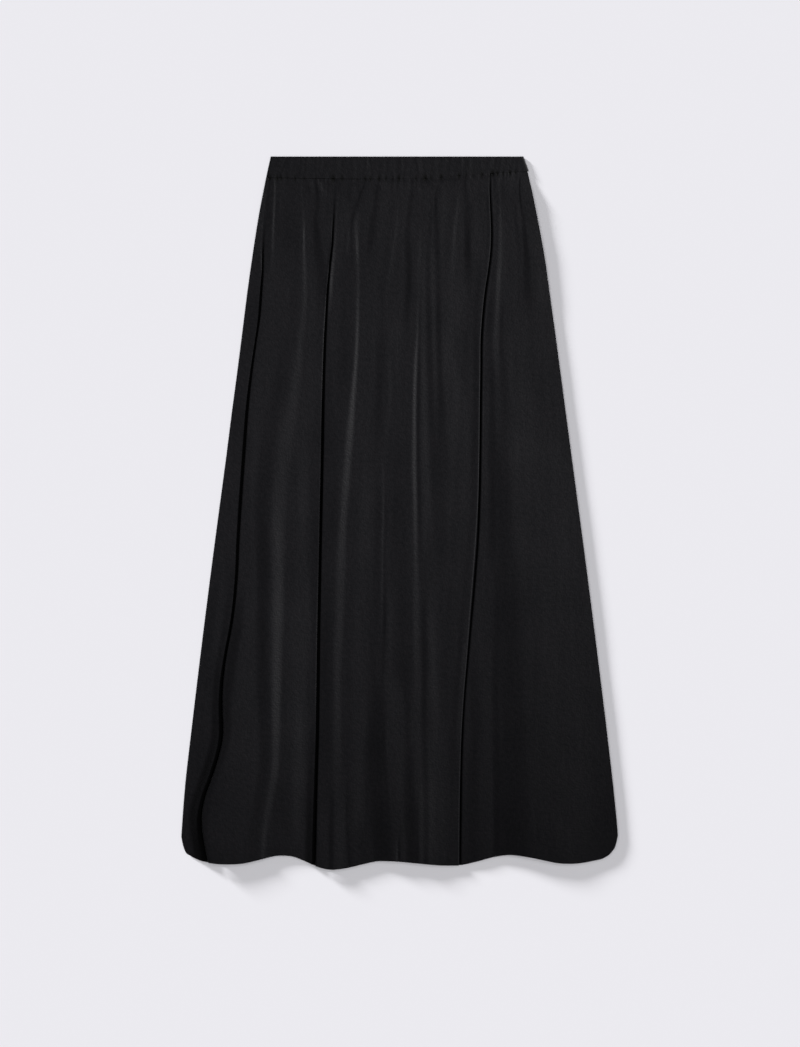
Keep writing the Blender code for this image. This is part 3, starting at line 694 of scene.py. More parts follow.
# %% Creases from the centre-left fold to the middle
LEFT_MIDDLE_CREASES = [
    crease("hem fine left", SHADE,
        (780, 332, 0, 3, 16), (800, 332, 2.5, 4), (830, 331.3, 5.5), (850, 331, 5), (866, 331, 4)),
    crease("centre-left edge", GLEAM,
        (196, 338.5, 2, 2, 4), (220, 336.5, 4), (235, 335.7, 6), (250, 334.3, 10, 2.5),
        (270, 332.3, 13, 3), (290, 331, 11, 3.5), (315, 328.5, 2, 3), (330, 327, 0)),
    crease("hem fine", SHADE,
        (780, 347, 0, 3, 12), (805, 347, 3), (825, 347, 3.5, 2.5), (850, 348.5, 4), (866, 350, 3)),
    crease("slant light", GLEAM,
        (226, 350.5, 0, 2, 3), (235, 349, 5), (250, 347.2, 3, 2.2), (262, 346, 0)),
    crease("centre high", GLEAM,
        (215, 355.5, 1, 2, 20), (226, 356, 6), (235, 356.6, 13), (250, 357.3, 20, 2.3),
        (270, 358, 14), (290, 358.2, 13, 2.4), (315, 357.7, 18, 2.6), (340, 357, 21, 3, 22),
        (370, 355.3, 22, 3.6, 26), (400, 352.8, 22, 5, 34), (430, 350.4, 21, 6.5),
        (460, 348, 17, 7), (500, 344.9), (540, 342, 16, 8, 32), (580, 340.7, 12, 9, 28),
        (620, 339.5, 13, 8, 22), (660, 337.5, 11.5, 7.5, 20), (700, 337, 10.5, 7),
        (740, 337, 7, 8), (800, 338, 1, 8, 14), (825, 339, 0)),
    crease("small trough beside the slant", SHADE,
        (184, 349.5, 0, 3, 8), (195, 348.5, 4.5), (204, 348, 0)),
    crease("slant", SHADE,
        (179, 367, 9, 1.3, 10), (187, 363.5, 12), (195, 360.5), (205, 357.5),
        (215, 353.5, 12, 1.4, 8), (225, 351.5, 8, 1.5), (240, 351.5, 4, 2), (255, 352, 2),
        (265, 352, 0)),
    crease("soft before middle", GLEAM,
        (470, 368, 0, 14, 30), (500, 367, 3), (600, 363, 2.5), (700, 361), (760, 358, 3.5, 12),
        (820, 359, 3, 10), (850, 359, 0)),
    crease("trough right of the slant", SHADE,
        (184, 378, 4, 4, 12), (190, 377.5, 6), (205, 376, 4), (220, 373, 6, 5, 14),
        (235, 371.5, 6, 6), (250, 369.5, 4), (265, 369, 0)),
    crease("broad trough right of the slant", SHADE,
        (318, 380, 0, 8, 24), (340, 381, 3, 9), (370, 380, 3, 8), (400, 378, 3, 7),
        (430, 378, 2.5, 8), (450, 378, 0)),
    crease("hem wedge", SHADE,
        (676, 377, 0, 6, 40), (700, 379, 5, 10), (720, 378, 4.4, 14, 42), (740, 376, 4, 17, 44),
        (800, 378, 3.8, 19), (850, 383, 3.8, 16), (866, 384)),
    crease("middle line", GLEAM,
        (445, 382.5, 0, 1.8, 8), (475, 383, 7), (500, 383.4, 12), (540, 382.6), (580, 382),
        (620, 382, 2, 1.6), (640, 382, 0)),
    crease("middle groove", SHADE,
        (480, 386, 0, 1.6, 6), (500, 386, 2), (580, 384.7, 4), (620, 384.6, 7, 2.5, 8),
        (650, 383.7, 6, 2), (690, 382, 0)),
    crease("centre faint", GLEAM,
        (345, 391, 0, 4, 12), (370, 390, 4), (400, 389.7, 6), (430, 387.5, 3), (455, 386, 1),
        (470, 385, 0)),
    crease("hem wedge edge", GLEAM,
        (715, 386, 0, 1.8, 3), (740, 386.8, 2.5), (770, 388.3, 3), (800, 391, 2, 2), (830, 393, 0)),
]
list_creases(LEFT_MIDDLE_CREASES)

# %% Creases from the middle to the centre-right fold
RIGHT_MIDDLE_CREASES = [
    crease("centre fine", GLEAM,
        (205, 398.5, 2, 2, 8), (220, 397, 4), (235, 395.6, 6), (250, 393.6), (270, 391, 2.5, 3),
        (290, 387, 3), (320, 384, 0)),
    crease("soft middle", GLEAM,
        (560, 394, 0, 12, 20), (620, 393, 2), (700, 393), (745, 391, 3, 10), (770, 392, 0)),
    crease("hem dart", GROOVE,
        (838, 398, 0, 2.2, 0), (850, 398, 0.8), (866, 398.5, 0.9)),
    crease("trough left of the middle line", SHADE,
        (190, 412, 4, 4, 14), (220, 408.5, 5, 5), (235, 407), (250, 407.5, 6), (270, 409, 8),
        (290, 408.3, 7), (315, 407, 3, 6), (340, 407, 0)),
    crease("hem trough", SHADE,
        (725, 409, 0, 8, 30), (745, 410, 3), (780, 409, 5, 9), (810, 410, 5, 11),
        (850, 412, 5, 10), (866, 412, 4)),
    crease("middle high", GLEAM,
        (228, 420.5, 0, 2, 12), (250, 419.5, 8, 1.8), (290, 419.2, 10), (315, 418, 12, 1.8, 14),
        (340, 417.2, 20, 2.2, 24), (370, 415.3, 21, 3.2, 30), (400, 414.5, 20, 3.8, 32),
        (430, 414.3, 20, 4), (460, 414.3, 19, 4.5), (500, 415.2, 18), (540, 415.6, 13, 4.5, 30),
        (580, 416, 10, 5.5, 32), (620, 416.3, 9, 6.5, 30), (660, 417, 7, 8, 24),
        (700, 418, 4, 8, 10), (745, 416.5, 1, 9, 8), (780, 416.5, 0)),
    crease("hem fine right", SHADE,
        (780, 418.5, 0, 2, 8), (805, 417.5, 3), (840, 417.5), (866, 417.5)),
    crease("middle after", SHADE,
        (600, 423, 1, 4, 10), (620, 423.5, 4), (660, 424.5, 5, 5), (700, 424, 5, 5, 12),
        (740, 424, 4, 5, 20), (770, 425, 4, 5, 30), (825, 426, 3.5, 5, 34), (866, 426)),
    crease("middle second", GLEAM,
        (262, 423.5, 2, 3, 3), (290, 422.8, 4, 2.5), (340, 423.5, 3, 4.5), (370, 424, 4, 5),
        (400, 424.5, 5, 6, 4), (460, 425, 4, 7), (500, 427, 4, 8, 5), (580, 428, 0)),
    crease("first trough right of the middle", SHADE,
        (196, 432, 0, 3, 14), (220, 430.7, 4), (235, 429.3, 4, 3.5), (270, 428, 3.5, 4),
        (315, 429, 4), (340, 429, 4, 4.5), (370, 430, 3.5, 5, 16), (400, 431, 3, 5, 18),
        (430, 433, 3, 6, 20), (460, 434, 3, 8, 24), (500, 438, 2, 12, 30), (540, 441, 1.5),
        (570, 442, 0)),
    crease("right of middle", GLEAM,
        (255, 432, 1, 4, 4), (270, 432.5, 1.5), (290, 433, 2), (340, 433.5, 2, 3),
        (370, 435.5, 2, 3.5), (400, 435.5, 1, 4), (450, 436, 0)),
    crease("soft after middle", GLEAM,
        (560, 433, 0, 10, 30), (620, 433, 2.5), (700, 434, 1.5, 12), (745, 438, 1.2, 14),
        (790, 438, 0.8, 12), (830, 438, 0)),
    crease("second trough right of the middle", SHADE,
        (186, 437.5, 2, 2, 9), (193, 436.6, 6), (205, 435.8, 9, 2.2, 14), (220, 436.3, 6, 3),
        (250, 437.3, 6, 4.5), (290, 438.3), (340, 438.7, 7), (370, 439.5, 6, 5, 16),
        (400, 441, 6, 6, 24), (430, 441.5, 5, 7, 26), (460, 443, 3, 10, 28), (490, 444, 0, 12)),
    crease("right fine", GLEAM,
        (196, 458.5, 3, 2, 6), (205, 457.8, 7), (220, 456, 8, 2.2, 8), (235, 454.6, 7, 2.3),
        (250, 453.2, 5, 2.6), (270, 452.3, 2, 3), (290, 452, 0, 3.5)),
    crease("before right mouth", GLEAM,
        (600, 466, 0, 2, 6), (630, 466, 4, 2.5), (660, 463.5, 6, 3), (700, 460.5, 4),
        (740, 458, 2), (780, 457, 0)),
    crease("trough before the right fold", SHADE,
        (178, 465.3, 8, 1.8, 10), (188, 465.3, 8, 2), (196, 466, 5, 3, 14), (205, 467.5, 5, 5),
        (220, 467.3, 6, 6), (235, 467.7, 8), (250, 467.5, 9), (270, 468.5, 6, 7),
        (290, 470, 2, 8), (310, 472, 0)),
    crease("before right fold", SHADE,
        (262, 477, 0, 4, 8), (275, 478.5, 3, 4, 9), (300, 477, 5, 4, 11), (315, 475.8, 4, 5, 9),
        (340, 475.8, 5, 5, 5), (430, 475.5, 4), (460, 474, 4, 6), (500, 473.5, 3), (540, 470.5),
        (580, 467, 2), (660, 460, 0)),
    crease("beside right fold", SHADE,
        (186, 487, 0, 2, 8.9), (200, 487.2, 4), (240, 488.2, 6, 2.2), (262, 486, 5),
        (285, 484, 0, 2)),
]
list_creases(RIGHT_MIDDLE_CREASES)

# %% Creases right of the centre-right fold
RIGHT_CREASES = [
    crease("right of fold", SHADE,
        (640, 475, 0, 8, 24), (660, 474, 2.5), (740, 474.5, 3, 9), (770, 472, 2.5, 8),
        (800, 472, 2, 10), (866, 472, 1.5)),
    crease("trough under the right fold", SHADE,
        (360, 491, 2, 5, 24), (380, 492, 4), (430, 492, 5, 6, 30), (460, 491, 5, 7, 34),
        (500, 492, 4, 7, 36), (540, 491, 4, 8), (580, 491, 0)),
    crease("right broad start", SHADE,
        (560, 498, 0, 6, 34), (580, 497, 2.5), (620, 496, 2), (660, 495, 3), (780, 496, 4),
        (866, 496, 3)),
    crease("right high", GLEAM,
        (178, 499.3, 3, 1.6, 6), (190, 499.3, 4), (205, 500, 4, 1.8), (220, 500.2, 6.5, 2.6),
        (235, 500.4, 7, 3.2), (250, 500.4, 7.5, 3.4), (270, 499.2, 9, 3.6, 7),
        (290, 498, 8.5, 3.6, 8), (315, 496.6, 8, 4), (340, 496, 5, 5), (370, 496.5, 1, 5.5),
        (385, 497, 0, 6)),
    crease("after right high", SHADE,
        (295, 503, 0, 3, 20), (315, 502.3, 4), (340, 501, 4, 4), (370, 503, 4, 6, 24),
        (400, 505, 4, 7, 26), (430, 505.5, 3, 8), (460, 505, 0, 12)),
    crease("right broad", SHADE,
        (430, 500, 0, 16, 60), (460, 500, 5, 16, 70), (500, 502, 4.6, 18, 76),
        (540, 503, 4.5, 20, 78), (580, 507, 4.5, 22, 80), (660, 509, 4.3, 24),
        (740, 511, 4.2, 26, 85), (866, 512, 4, 28, 80)),
    crease("small trough by the right side", SHADE,
        (205, 516, 0, 2, 8), (214, 516, 3.5), (225, 516, 3), (240, 518, 2.5, 4, 12),
        (255, 519, 2), (270, 519, 0)),
    crease("sharp trough by the right side", SHADE,
        (178, 519.8, 9, 1.3, 9), (190, 519.6, 12), (200, 520, 11, 1.4), (212, 521.5, 5, 2),
        (222, 523, 0)),
    crease("soft trough by the right side", SHADE,
        (208, 523.5, 2, 3, 14), (220, 523.5, 4), (250, 526, 7, 5, 16), (270, 527, 6, 6, 18),
        (290, 527, 5, 9, 20), (320, 529, 0, 10)),
]
list_creases(RIGHT_CREASES)

# %% Height of all the creases
CREASES = LEFT_CREASES + LEFT_MIDDLE_CREASES + RIGHT_MIDDLE_CREASES + RIGHT_CREASES


def crease_height(x, down):
    """The listed creases at given places."""
    height = np.zeros_like(x)
    for one in CREASES:
        rise = np.where(down < one.path[0].down, 0.0, straight(one.path, "rise", down))
        left = straight(one.path, "left", down)
        right = straight(one.path, "right", down)
        height += rise * leaning(x - smooth(one.path, "crest", down), left, right)
    return height


print(len(CREASES), "creases placed by hand")

# %% [markdown]
# ## The unevenness of real cloth
#
# Between its folds cloth is never a perfect surface. It keeps slow, shallow waves from how it was
# folded and carried, mostly running down its length. A few sine waves with unlike directions
# give that without any random numbers, so the skirt comes out the same each time.

# %% Slow waves
Wave = namedtuple("Wave", "across down rise phase")     # lengths of one wave each way
WAVES = table(Wave,
    (47, 610, 0.05, 0.3), (29, -390, 0.03, 1.9), (17, 270, 0.02, 4.1), (11, -170, 0.012, 2.2),
    (83, 140, 0.05, 5), (-61, 95, 0.03, 0.9))

WAVE_BEND = 1.3          # radians by which the waves wander
WAVE_BEND_LENGTH = 71.0


def slow_waves(x, down):
    height = np.zeros_like(x)
    bend = WAVE_BEND * np.sin(x / WAVE_BEND_LENGTH)
    for wave in WAVES:
        turn = x / wave.across + down / wave.down
        height += wave.rise * np.sin(2 * math.pi * turn + wave.phase + bend)
    return height


print("waves add up to", round(sum(wave.rise for wave in WAVES), 2), "mm")

# %% [markdown]
# ## Sheets from a grid
#
# Each piece starts as a grid with one vertex for each place of cloth. The grid brings faces and a
# UV map, and the vertices then move to their places on the section. The UV map is rewritten as
# real distances along the cloth, so the weave keeps its size where the cloth folds over.
# Solidify gives the thickness, and the free edges stay crisp.

# %% Grid to cloth
SMOOTH_UNDER = 65                # degrees; sharper edges stay crisp


def deselect():
    bpy.ops.object.select_all(action="DESELECT")


def select_only(obj):
    deselect()
    bpy.context.view_layer.objects.active = obj
    obj.select_set(True)


def cloth_grid(name, rows):
    """A sheet from rows of points: across, down and height in millimetres, and painted pit shade.
    """
    points = np.array(rows)
    # the fourth column is painted shade for the pits of the seam, not a height
    pit = points[:, :, 3]
    points = points[:, :, :3]
    count_down, count_across = points.shape[:2]
    deselect()
    bpy.ops.mesh.primitive_grid_add(size=1.0, x_subdivisions=count_across - 1,
                                    y_subdivisions=count_down - 1)
    sheet = bpy.context.object
    sheet.name = name
    mesh = sheet.data
    grid = np.empty(len(mesh.vertices) * 3)
    mesh.vertices.foreach_get("co", grid)
    grid = grid.reshape(-1, 3)
    i = np.rint((0.5 - grid[:, 1]) * (count_down - 1)).astype(int)
    j = np.rint((grid[:, 0] + 0.5) * (count_across - 1)).astype(int)
    placed = points[i, j]
    world = np.column_stack((placed[:, 0], LENGTH / 2 - placed[:, 1], placed[:, 2])) * MM
    mesh.vertices.foreach_set("co", world.ravel())
    steps = np.linalg.norm(np.diff(points, axis=1), axis=2)
    along = np.concatenate((np.zeros((count_down, 1)), np.cumsum(steps, axis=1)), axis=1)
    drops = np.linalg.norm(np.diff(points, axis=0), axis=2)
    fallen = np.concatenate((np.zeros((1, count_across)), np.cumsum(drops, axis=0)), axis=0)
    cloth_uv = np.column_stack((along[i, j] - along[i, -1] / 2, -fallen[i, j])) * MM
    loops = np.empty(len(mesh.loops), int)
    mesh.loops.foreach_get("vertex_index", loops)
    mesh.uv_layers[0].name = "cloth"
    mesh.uv_layers[0].data.foreach_set("uv", cloth_uv[loops].ravel())
    # the pit attribute carries painted shade: the shader darkens the colour by it
    mesh.attributes.new("pit", "FLOAT", "POINT").data.foreach_set("value", pit[i, j])
    mesh.update()
    return sheet


def thicken(sheet, thickness):
    """Give the sheet its wall, half on each side, and shade it smooth but for its cut edges."""
    select_only(sheet)
    wall = sheet.modifiers.new("Wall", "SOLIDIFY")
    wall.thickness = thickness * MM
    wall.offset = 0.0
    wall.use_even_offset = True
    wall.use_quality_normals = True
    bpy.ops.object.modifier_apply(modifier=wall.name)
    bpy.ops.object.shade_smooth_by_angle(angle=math.radians(SMOOTH_UNDER))

# %% [markdown]
# ## Front panel
#
# The rows crowd under the waist seam, where the gathers are short, and spread out below. The
# gathers, pits and creases are added to the height as functions of the place alone, so where
# three layers lie on each other they all move together and never touch.

# %% Build the front panel
Rows = namedtuple("Rows", "start end count")
FRONT_ROWS = table(Rows, (0, 30, 16), (30, 110, 14), (110, HEM_MEAN - SEAM_MEAN, 69))
RELIEF_FROM = 0.6        # cloth that lies lower than this over its rest takes less relief
CREASES_FROM = 7.0       # below the seam, from where the creases have their full height


def front_falls():
    near, middle, far = FRONT_ROWS
    falls = [np.linspace(*near, endpoint=False), np.linspace(*middle, endpoint=False)]
    return np.concatenate(falls + [np.linspace(*far)]) / far.end


def front_rows():
    rows = []
    for fall in front_falls():
        section = front_section(fall)
        x = section[:, 0]
        down = down_at(x, fall)
        below = down - waist_seam(x)
        lifted = ease(section[:, 1] / RELIEF_FROM)
        pits = pit_shape(x, below)
        small = gather_wave(x, below) + tuck_height(x, below) - PIT_DEPTH * pits
        long = crease_height(x, down) + slow_waves(x, down)
        small = small + long * ease(below / CREASES_FROM)
        height = REST + np.maximum(section[:, 1] + small * lifted, 0.0)
        # the last column is painted shade, which darkens the colour in the pits of the seam
        rows.append(np.column_stack((x, down + PIT_OPEN * pits, height, painted_pit_shade(x, below))))
    return rows


front = cloth_grid("front_cloth", front_rows())
thicken(front, CLOTH)
print("front:", len(front.data.polygons), "faces")

# %% [markdown]
# ## Back panel
#
# The back lies flat on the surface under the front. It has the same outline, a little shorter at
# the hem so that it stays hidden. Most of its underside is flat because the floor presses it, and
# between those places it lifts into a few low ridges, as uneven as the creases of the front.

# %% Build the back panel
BACK_COLUMNS = 220
BACK_ROWS = 90
Ridge = namedtuple("Ridge", "top waist_side hem_side bottom rise left right")     # millimetres
RIDGES = table(Ridge,
    (60, -112, -176, 560, 0.35, 7, 12), (34, -71, -96, 905, 0.4, 16, 8),
    (150, -34, -31, 700, 0.3, 5, 15), (30, 9, 22, 330, 0.3, 6, 6), (280, 18, 44, 925, 0.4, 22, 13),
    (40, 62, 103, 640, 0.4, 9, 18), (46, 121, 186, 860, 0.35, 14, 7),
    (420, 205, 238, 925, 0.3, 18, 26), (510, -214, -243, 925, 0.4, 24, 12))
RIDGE_END = 90.0         # over which a ridge rises and dies away
RIDGE_WANDER = 2.5
RIDGE_WANDER_LENGTH = 97.0


def ridge_height(x, down):
    """How far the back lifts off the surface."""
    height = np.zeros_like(x)
    for ridge in RIDGES:
        along = (down - ridge.top) / (ridge.bottom - ridge.top)
        crest = ridge.waist_side + (ridge.hem_side - ridge.waist_side) * along
        crest = crest + RIDGE_WANDER * np.sin(down / RIDGE_WANDER_LENGTH + ridge.top)
        shape = leaning(x - crest, ridge.left, ridge.right)
        ends = ease((down - ridge.top) / RIDGE_END) * ease((ridge.bottom - down) / RIDGE_END)
        height = np.maximum(height, ridge.rise * shape * ends)
    return height


def back_rows():
    rows = []
    for fall in np.linspace(0.0, 1.0, BACK_ROWS):
        share = 0.5 + 0.5 * np.sin(math.pi * np.linspace(-0.5, 0.5, BACK_COLUMNS))
        left = side_at_fall("left", fall)
        right = side_at_fall("right", fall)
        x = left + share * (right - left)
        down = down_at(x, fall) - BACK_HEM_SHORTER * fall - BACK_SEAM_HIGHER * (1.0 - fall)
        height = BACK_WALL / 2 + ridge_height(x, down)
        rows.append(np.column_stack((x, down, height, np.zeros_like(x))))
    return rows


back = cloth_grid("back_cloth", back_rows())
thicken(back, BACK_WALL)
print("back:", len(back.data.polygons), "faces")

# %% [markdown]
# ## Waistband
#
# The band is one strip folded over its elastic, closed to a ring and laid flat. Seen from its end
# it is a long slot with two tight turns. The front half puckers between its gathers and is drawn
# in at the pits of the seam, and the back half lies flat. Solidify gives the doubled thickness
# and a bevel rounds the folded top edge.

# %% Build the waistband
BAND_ROWS = 13
BAND_FRONT_COLUMNS = 300
BAND_BACK_COLUMNS = 60
BAND_TURN_STEPS = 8
BAND_PUCKER = 0.14
BAND_TWIST = 2.5         # by which the puckers lean over the height of the band
BAND_TWIST_LENGTH = 19.0
BAND_PIT = 0.5           # how deep a pit is on the band, against the panel
BAND_PIT_OPEN = 0.4      # how far it opens the seam towards the band, against the panel
BAND_PLAIN_END = 6.0
BAND_EDGE = 0.35
BAND_EDGE_STEPS = 3
BAND_EDGE_FROM = 60      # degrees
BAND_SMOOTH_UNDER = 50   # degrees
WELD = 0.00001           # m

Ripple = namedtuple("Ripple", "rise length bend bend_length")
FINE_RIPPLE = Ripple(0.06, 1.9, 3, 23)
LONGER_RIPPLE = Ripple(0.03, 5.3, 1.7, 19)
FADE_LENGTH = 7.0        # over which the fine ripples come and go
FADE_SHIFT = 2.0         # how far that shifts over the height of the band


def ripple(kind, x, shift=0.0):
    bend = kind.bend * np.sin(x / kind.bend_length)
    return kind.rise * np.sin(x / kind.length + bend + shift)


def band_relief(x, share):
    """Its fine creases and two sets of short waves."""
    fine = ripple(FINE_RIPPLE, x, share) * np.sin(x / FADE_LENGTH + FADE_SHIFT * share)
    return fine + band_crease_height(x, share) + ripple(LONGER_RIPPLE, x)


def band_loop(share):
    """Mid wall of the band at one height: along the front, round, and along the back."""
    left = float(side("left", share * SEAM_MEAN)) + BAND_WALL
    right = float(side("right", share * SEAM_MEAN)) - BAND_WALL
    radius = (BAND_WALL + SEAM_GAP) / 2
    x = np.linspace(left, right, BAND_FRONT_COLUMNS)
    phase = gather_phase(x + BAND_TWIST * (share - 1.0) * np.sin(x / BAND_TWIST_LENGTH))
    pucker = BAND_PUCKER * (0.5 + 0.5 * np.sin(phase)) * share ** 2
    inset = ease(np.minimum(x - left, right - x) / BAND_PLAIN_END)
    pits = pit_shape(x, (1.0 - share) * waist_seam(x))
    relief = pucker + band_relief(x, share) - BAND_PIT * PIT_DEPTH * pits
    height = BAND_MID + relief * inset
    front_half = np.column_stack((x, height))
    angles = np.linspace(0.0, math.pi, BAND_TURN_STEPS + 1)[1:-1]
    right_turn = np.column_stack((right + radius * np.sin(angles), radius * np.cos(angles)))
    left_turn = right_turn * (-1.0, -1.0) + (right + left, 0.0)
    centre = (0.0, BAND_WALL / 2 + radius)
    x_back = np.linspace(right, left, BAND_BACK_COLUMNS)
    back_half = np.column_stack((x_back, np.full_like(x_back, BAND_WALL / 2)))
    loop = np.vstack((front_half, right_turn + centre, back_half, left_turn + centre))
    return np.vstack((loop, loop[:1]))


def band_rows():
    rows = []
    for share in np.linspace(0.0, 1.0, BAND_ROWS):
        loop = band_loop(share)
        raised = loop[:, 1] > BAND_MID / 2
        lowness = np.clip((BAND_MID - loop[:, 1]) / (BAND_MID - BAND_WALL / 2), 0.0, 1.0)
        above = (1.0 - share) * SEAM_MEAN
        down = share * (waist_seam(loop[:, 0]) - BACK_SEAM_HIGHER * lowness)
        down = down - BAND_PIT_OPEN * PIT_OPEN * raised * pit_shape(loop[:, 0], above)
        # painted shade: the front half of the band is painted darker in the pits of the seam
        painted_shade = raised * painted_pit_shade(loop[:, 0], above)
        rows.append(np.column_stack((loop[:, 0], down, loop[:, 1], painted_shade)))
    return rows


band = cloth_grid("waistband_cloth", band_rows())
select_only(band)
bpy.ops.object.mode_set(mode="EDIT")
bpy.ops.mesh.select_all(action="SELECT")
bpy.ops.mesh.remove_doubles(threshold=WELD)
bpy.ops.object.mode_set(mode="OBJECT")
thicken(band, BAND_WALL)
rounding = band.modifiers.new("Folded edge", "BEVEL")
rounding.width = BAND_EDGE * MM
rounding.segments = BAND_EDGE_STEPS
rounding.limit_method = "ANGLE"
rounding.angle_limit = math.radians(BAND_EDGE_FROM)
bpy.ops.object.modifier_apply(modifier=rounding.name)
bpy.ops.object.shade_smooth_by_angle(angle=math.radians(BAND_SMOOTH_UNDER))
print("band:", len(band.data.polygons), "faces")

# %% [markdown]
# ## Black crepe
#
# Crepe is woven from hard-twisted yarns that curl and roughen its face, so it is matt with a soft
# sheen where a fold turns to the light. It is dyed black: it sends back about one part in a
# hundred of the light. Its shader starts from a very dark base with a low specular level. Three
# patterns vary its colour and roughness: the crepe's pebble, short slubs along the weft, and slow
# patches where the finish varies. The first two and a finer glint, for the twist of the yarn,
# also raise its face, which breaks up the highlights.
# In the pits of the seam its colour is painted nearly black, as painted shade.

# %% Colour and node helpers
def linear(hex_colour):
    """sRGB hex to the linear colour that shaders use."""
    channels = [int(hex_colour[i:i + 2], 16) / 255 for i in (1, 3, 5)]
    levels = [c / 12.92 if c <= 0.04045 else ((c + 0.055) / 1.055) ** 2.4 for c in channels]
    return (*levels, 1.0)


def add_node(tree, kind, settings=None, links=None):
    """One node with its settings and its incoming links, {input: socket or value}."""
    node = tree.nodes.new(kind)
    for key, value in (settings or {}).items():
        setattr(node, key, value)
    for key, value in (links or {}).items():
        if isinstance(value, bpy.types.NodeSocket):
            tree.links.new(value, node.inputs[key])
        else:
            node.inputs[key].default_value = value
    return node


print("a mid grey of the screen is", round(linear("#808080")[0], 3), "in light")

# %% Crepe material
PEBBLE = 5.2             # mm; the real crepe's pebble is about 1 mm, drawn coarser so that it shows
SLUB_LENGTH = 9.0        # mm along the weft
SLUB_HEIGHT = 2.4        # mm; real slubs are about 0.5 mm high, drawn coarser so that they show
PATCH = 60.0             # mm
GLINT = 2.2              # mm; the twist of the yarn, which glints on the ridges, drawn coarser too
SLUB_SHARE = 0.35
PATCH_SHARE = 0.3
GLINT_SHARE = 0.35
DARK = "#0c0c0f"
LIGHT = "#121114"
# painted shade: the colour that the cloth is painted towards in the pits of the seam
PAINTED_PIT_COLOUR = "#010101"
DARK_UNDER = 0.36        # part of the pattern that is quite dark, and
LIGHT_OVER = 0.64        # quite light
ROUGHNESS_SPREAD = 0.05
RELIEF = 0.0006          # m
RELIEF_STRENGTH = 0.85


def crepe(name, roughness):
    material = bpy.data.materials.new(name)
    material.use_nodes = True
    tree = material.node_tree
    shader = tree.nodes["Principled BSDF"]
    cloth = add_node(tree, "ShaderNodeUVMap", {"uv_map": "cloth"}).outputs["UV"]
    in_mm = add_node(tree, "ShaderNodeVectorMath", {"operation": "SCALE"},
                     {0: cloth, "Scale": 1 / MM}).outputs[0]
    weft = add_node(tree, "ShaderNodeMapping", None,
                    {"Vector": in_mm, "Scale": (1 / SLUB_LENGTH, 1 / SLUB_HEIGHT, 1.0)}).outputs[0]
    grain = add_node(tree, "ShaderNodeTexNoise", None,
                     {"Vector": in_mm, "Scale": 1 / PEBBLE, "Detail": 1.0, "Roughness": 0.5})
    slub = add_node(tree, "ShaderNodeTexNoise", None,
                    {"Vector": weft, "Scale": 1.0, "Detail": 3.0, "Roughness": 0.55})
    slow = add_node(tree, "ShaderNodeTexNoise", None,
                    {"Vector": in_mm, "Scale": 1 / PATCH, "Detail": 2.0})
    glint = add_node(tree, "ShaderNodeTexNoise", None,
                     {"Vector": in_mm, "Scale": 1 / GLINT, "Detail": 0.0})
    both = add_node(tree, "ShaderNodeMix", {"data_type": "FLOAT"},
                    {"Factor": SLUB_SHARE, "A": grain.outputs["Fac"],
                     "B": slub.outputs["Fac"]}).outputs["Result"]
    uneven = add_node(tree, "ShaderNodeMix", {"data_type": "FLOAT"},
                      {"Factor": PATCH_SHARE, "A": both,
                       "B": slow.outputs["Fac"]}).outputs["Result"]
    relief = add_node(tree, "ShaderNodeMix", {"data_type": "FLOAT"},
                      {"Factor": GLINT_SHARE, "A": both,
                       "B": glint.outputs["Fac"]}).outputs["Result"]

    colour = add_node(tree, "ShaderNodeValToRGB", None, {"Fac": uneven})
    ends = colour.color_ramp.elements
    for end, position, tint in ((ends[0], DARK_UNDER, DARK), (ends[1], LIGHT_OVER, LIGHT)):
        end.position = position
        end.color = linear(tint)
    # painted shade: the base colour is mixed towards near black by the pit attribute
    pit = add_node(tree, "ShaderNodeAttribute", {"attribute_name": "pit"}).outputs["Fac"]
    with_painted_shade = add_node(tree, "ShaderNodeMix", {"data_type": "RGBA", "blend_type": "MIX"},
                      {"Factor": pit, "A": colour.outputs["Color"], "B": linear(PAINTED_PIT_COLOUR)})
    tree.links.new(with_painted_shade.outputs["Result"], shader.inputs["Base Color"])

    rough = add_node(tree, "ShaderNodeMapRange", None,
                     {"Value": uneven, "From Min": 0.3, "From Max": 0.7,
                      "To Min": roughness - ROUGHNESS_SPREAD,
                      "To Max": roughness + ROUGHNESS_SPREAD})
    tree.links.new(rough.outputs["Result"], shader.inputs["Roughness"])
    bump = add_node(tree, "ShaderNodeBump", None,
                    {"Height": relief, "Strength": RELIEF_STRENGTH, "Distance": RELIEF})
    tree.links.new(bump.outputs["Normal"], shader.inputs["Normal"])
    shader.inputs["Specular IOR Level"].default_value = 0.12
    shader.inputs["Sheen Weight"].default_value = 0.04
    shader.inputs["Sheen Roughness"].default_value = 0.5
    return material


crepe_front = crepe("black crepe, front panel", 0.55)
crepe_back = crepe("black crepe, back panel", 0.57)
crepe_band = crepe("black crepe, gathered band", 0.57)

for piece, material in ((front, crepe_front), (back, crepe_back), (band, crepe_band)):
    piece.data.materials.clear()
    piece.data.materials.append(material)
print("materials:", [material.name for material in (crepe_front, crepe_back, crepe_band)])

# %% [markdown]
# ## What each piece stands for
#
# Each piece rides on the one body and replaces its solid, which is hidden. The front is cut
# wider than it lies, because of its overlaps.

for piece, node, slot in ((front, "front_panel", "crepe_front"),
                          (back, "back_panel", "crepe_back"),
                          (band, "waistband", "crepe_waistband")):
    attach(piece, "root")
    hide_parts(node)

# %% [markdown]
# ## Floor, light and camera
#
# The skirt lies on a pale seamless surface. A low lamp from the upper left gives the floor the
# skirt's soft shadow and a wide one from above lights it evenly. The cloth has a lamp of its own:
# a softbox far to the right, which grazes it so that its ridges catch a line of light. The camera
# looks straight down from far away through a long lens, as for a catalogue.

# %% Floor
FLOOR_SIZE = 30.0
FLOOR_LEVEL = -0.0002            # just under the cloth, so that the two never share a plane

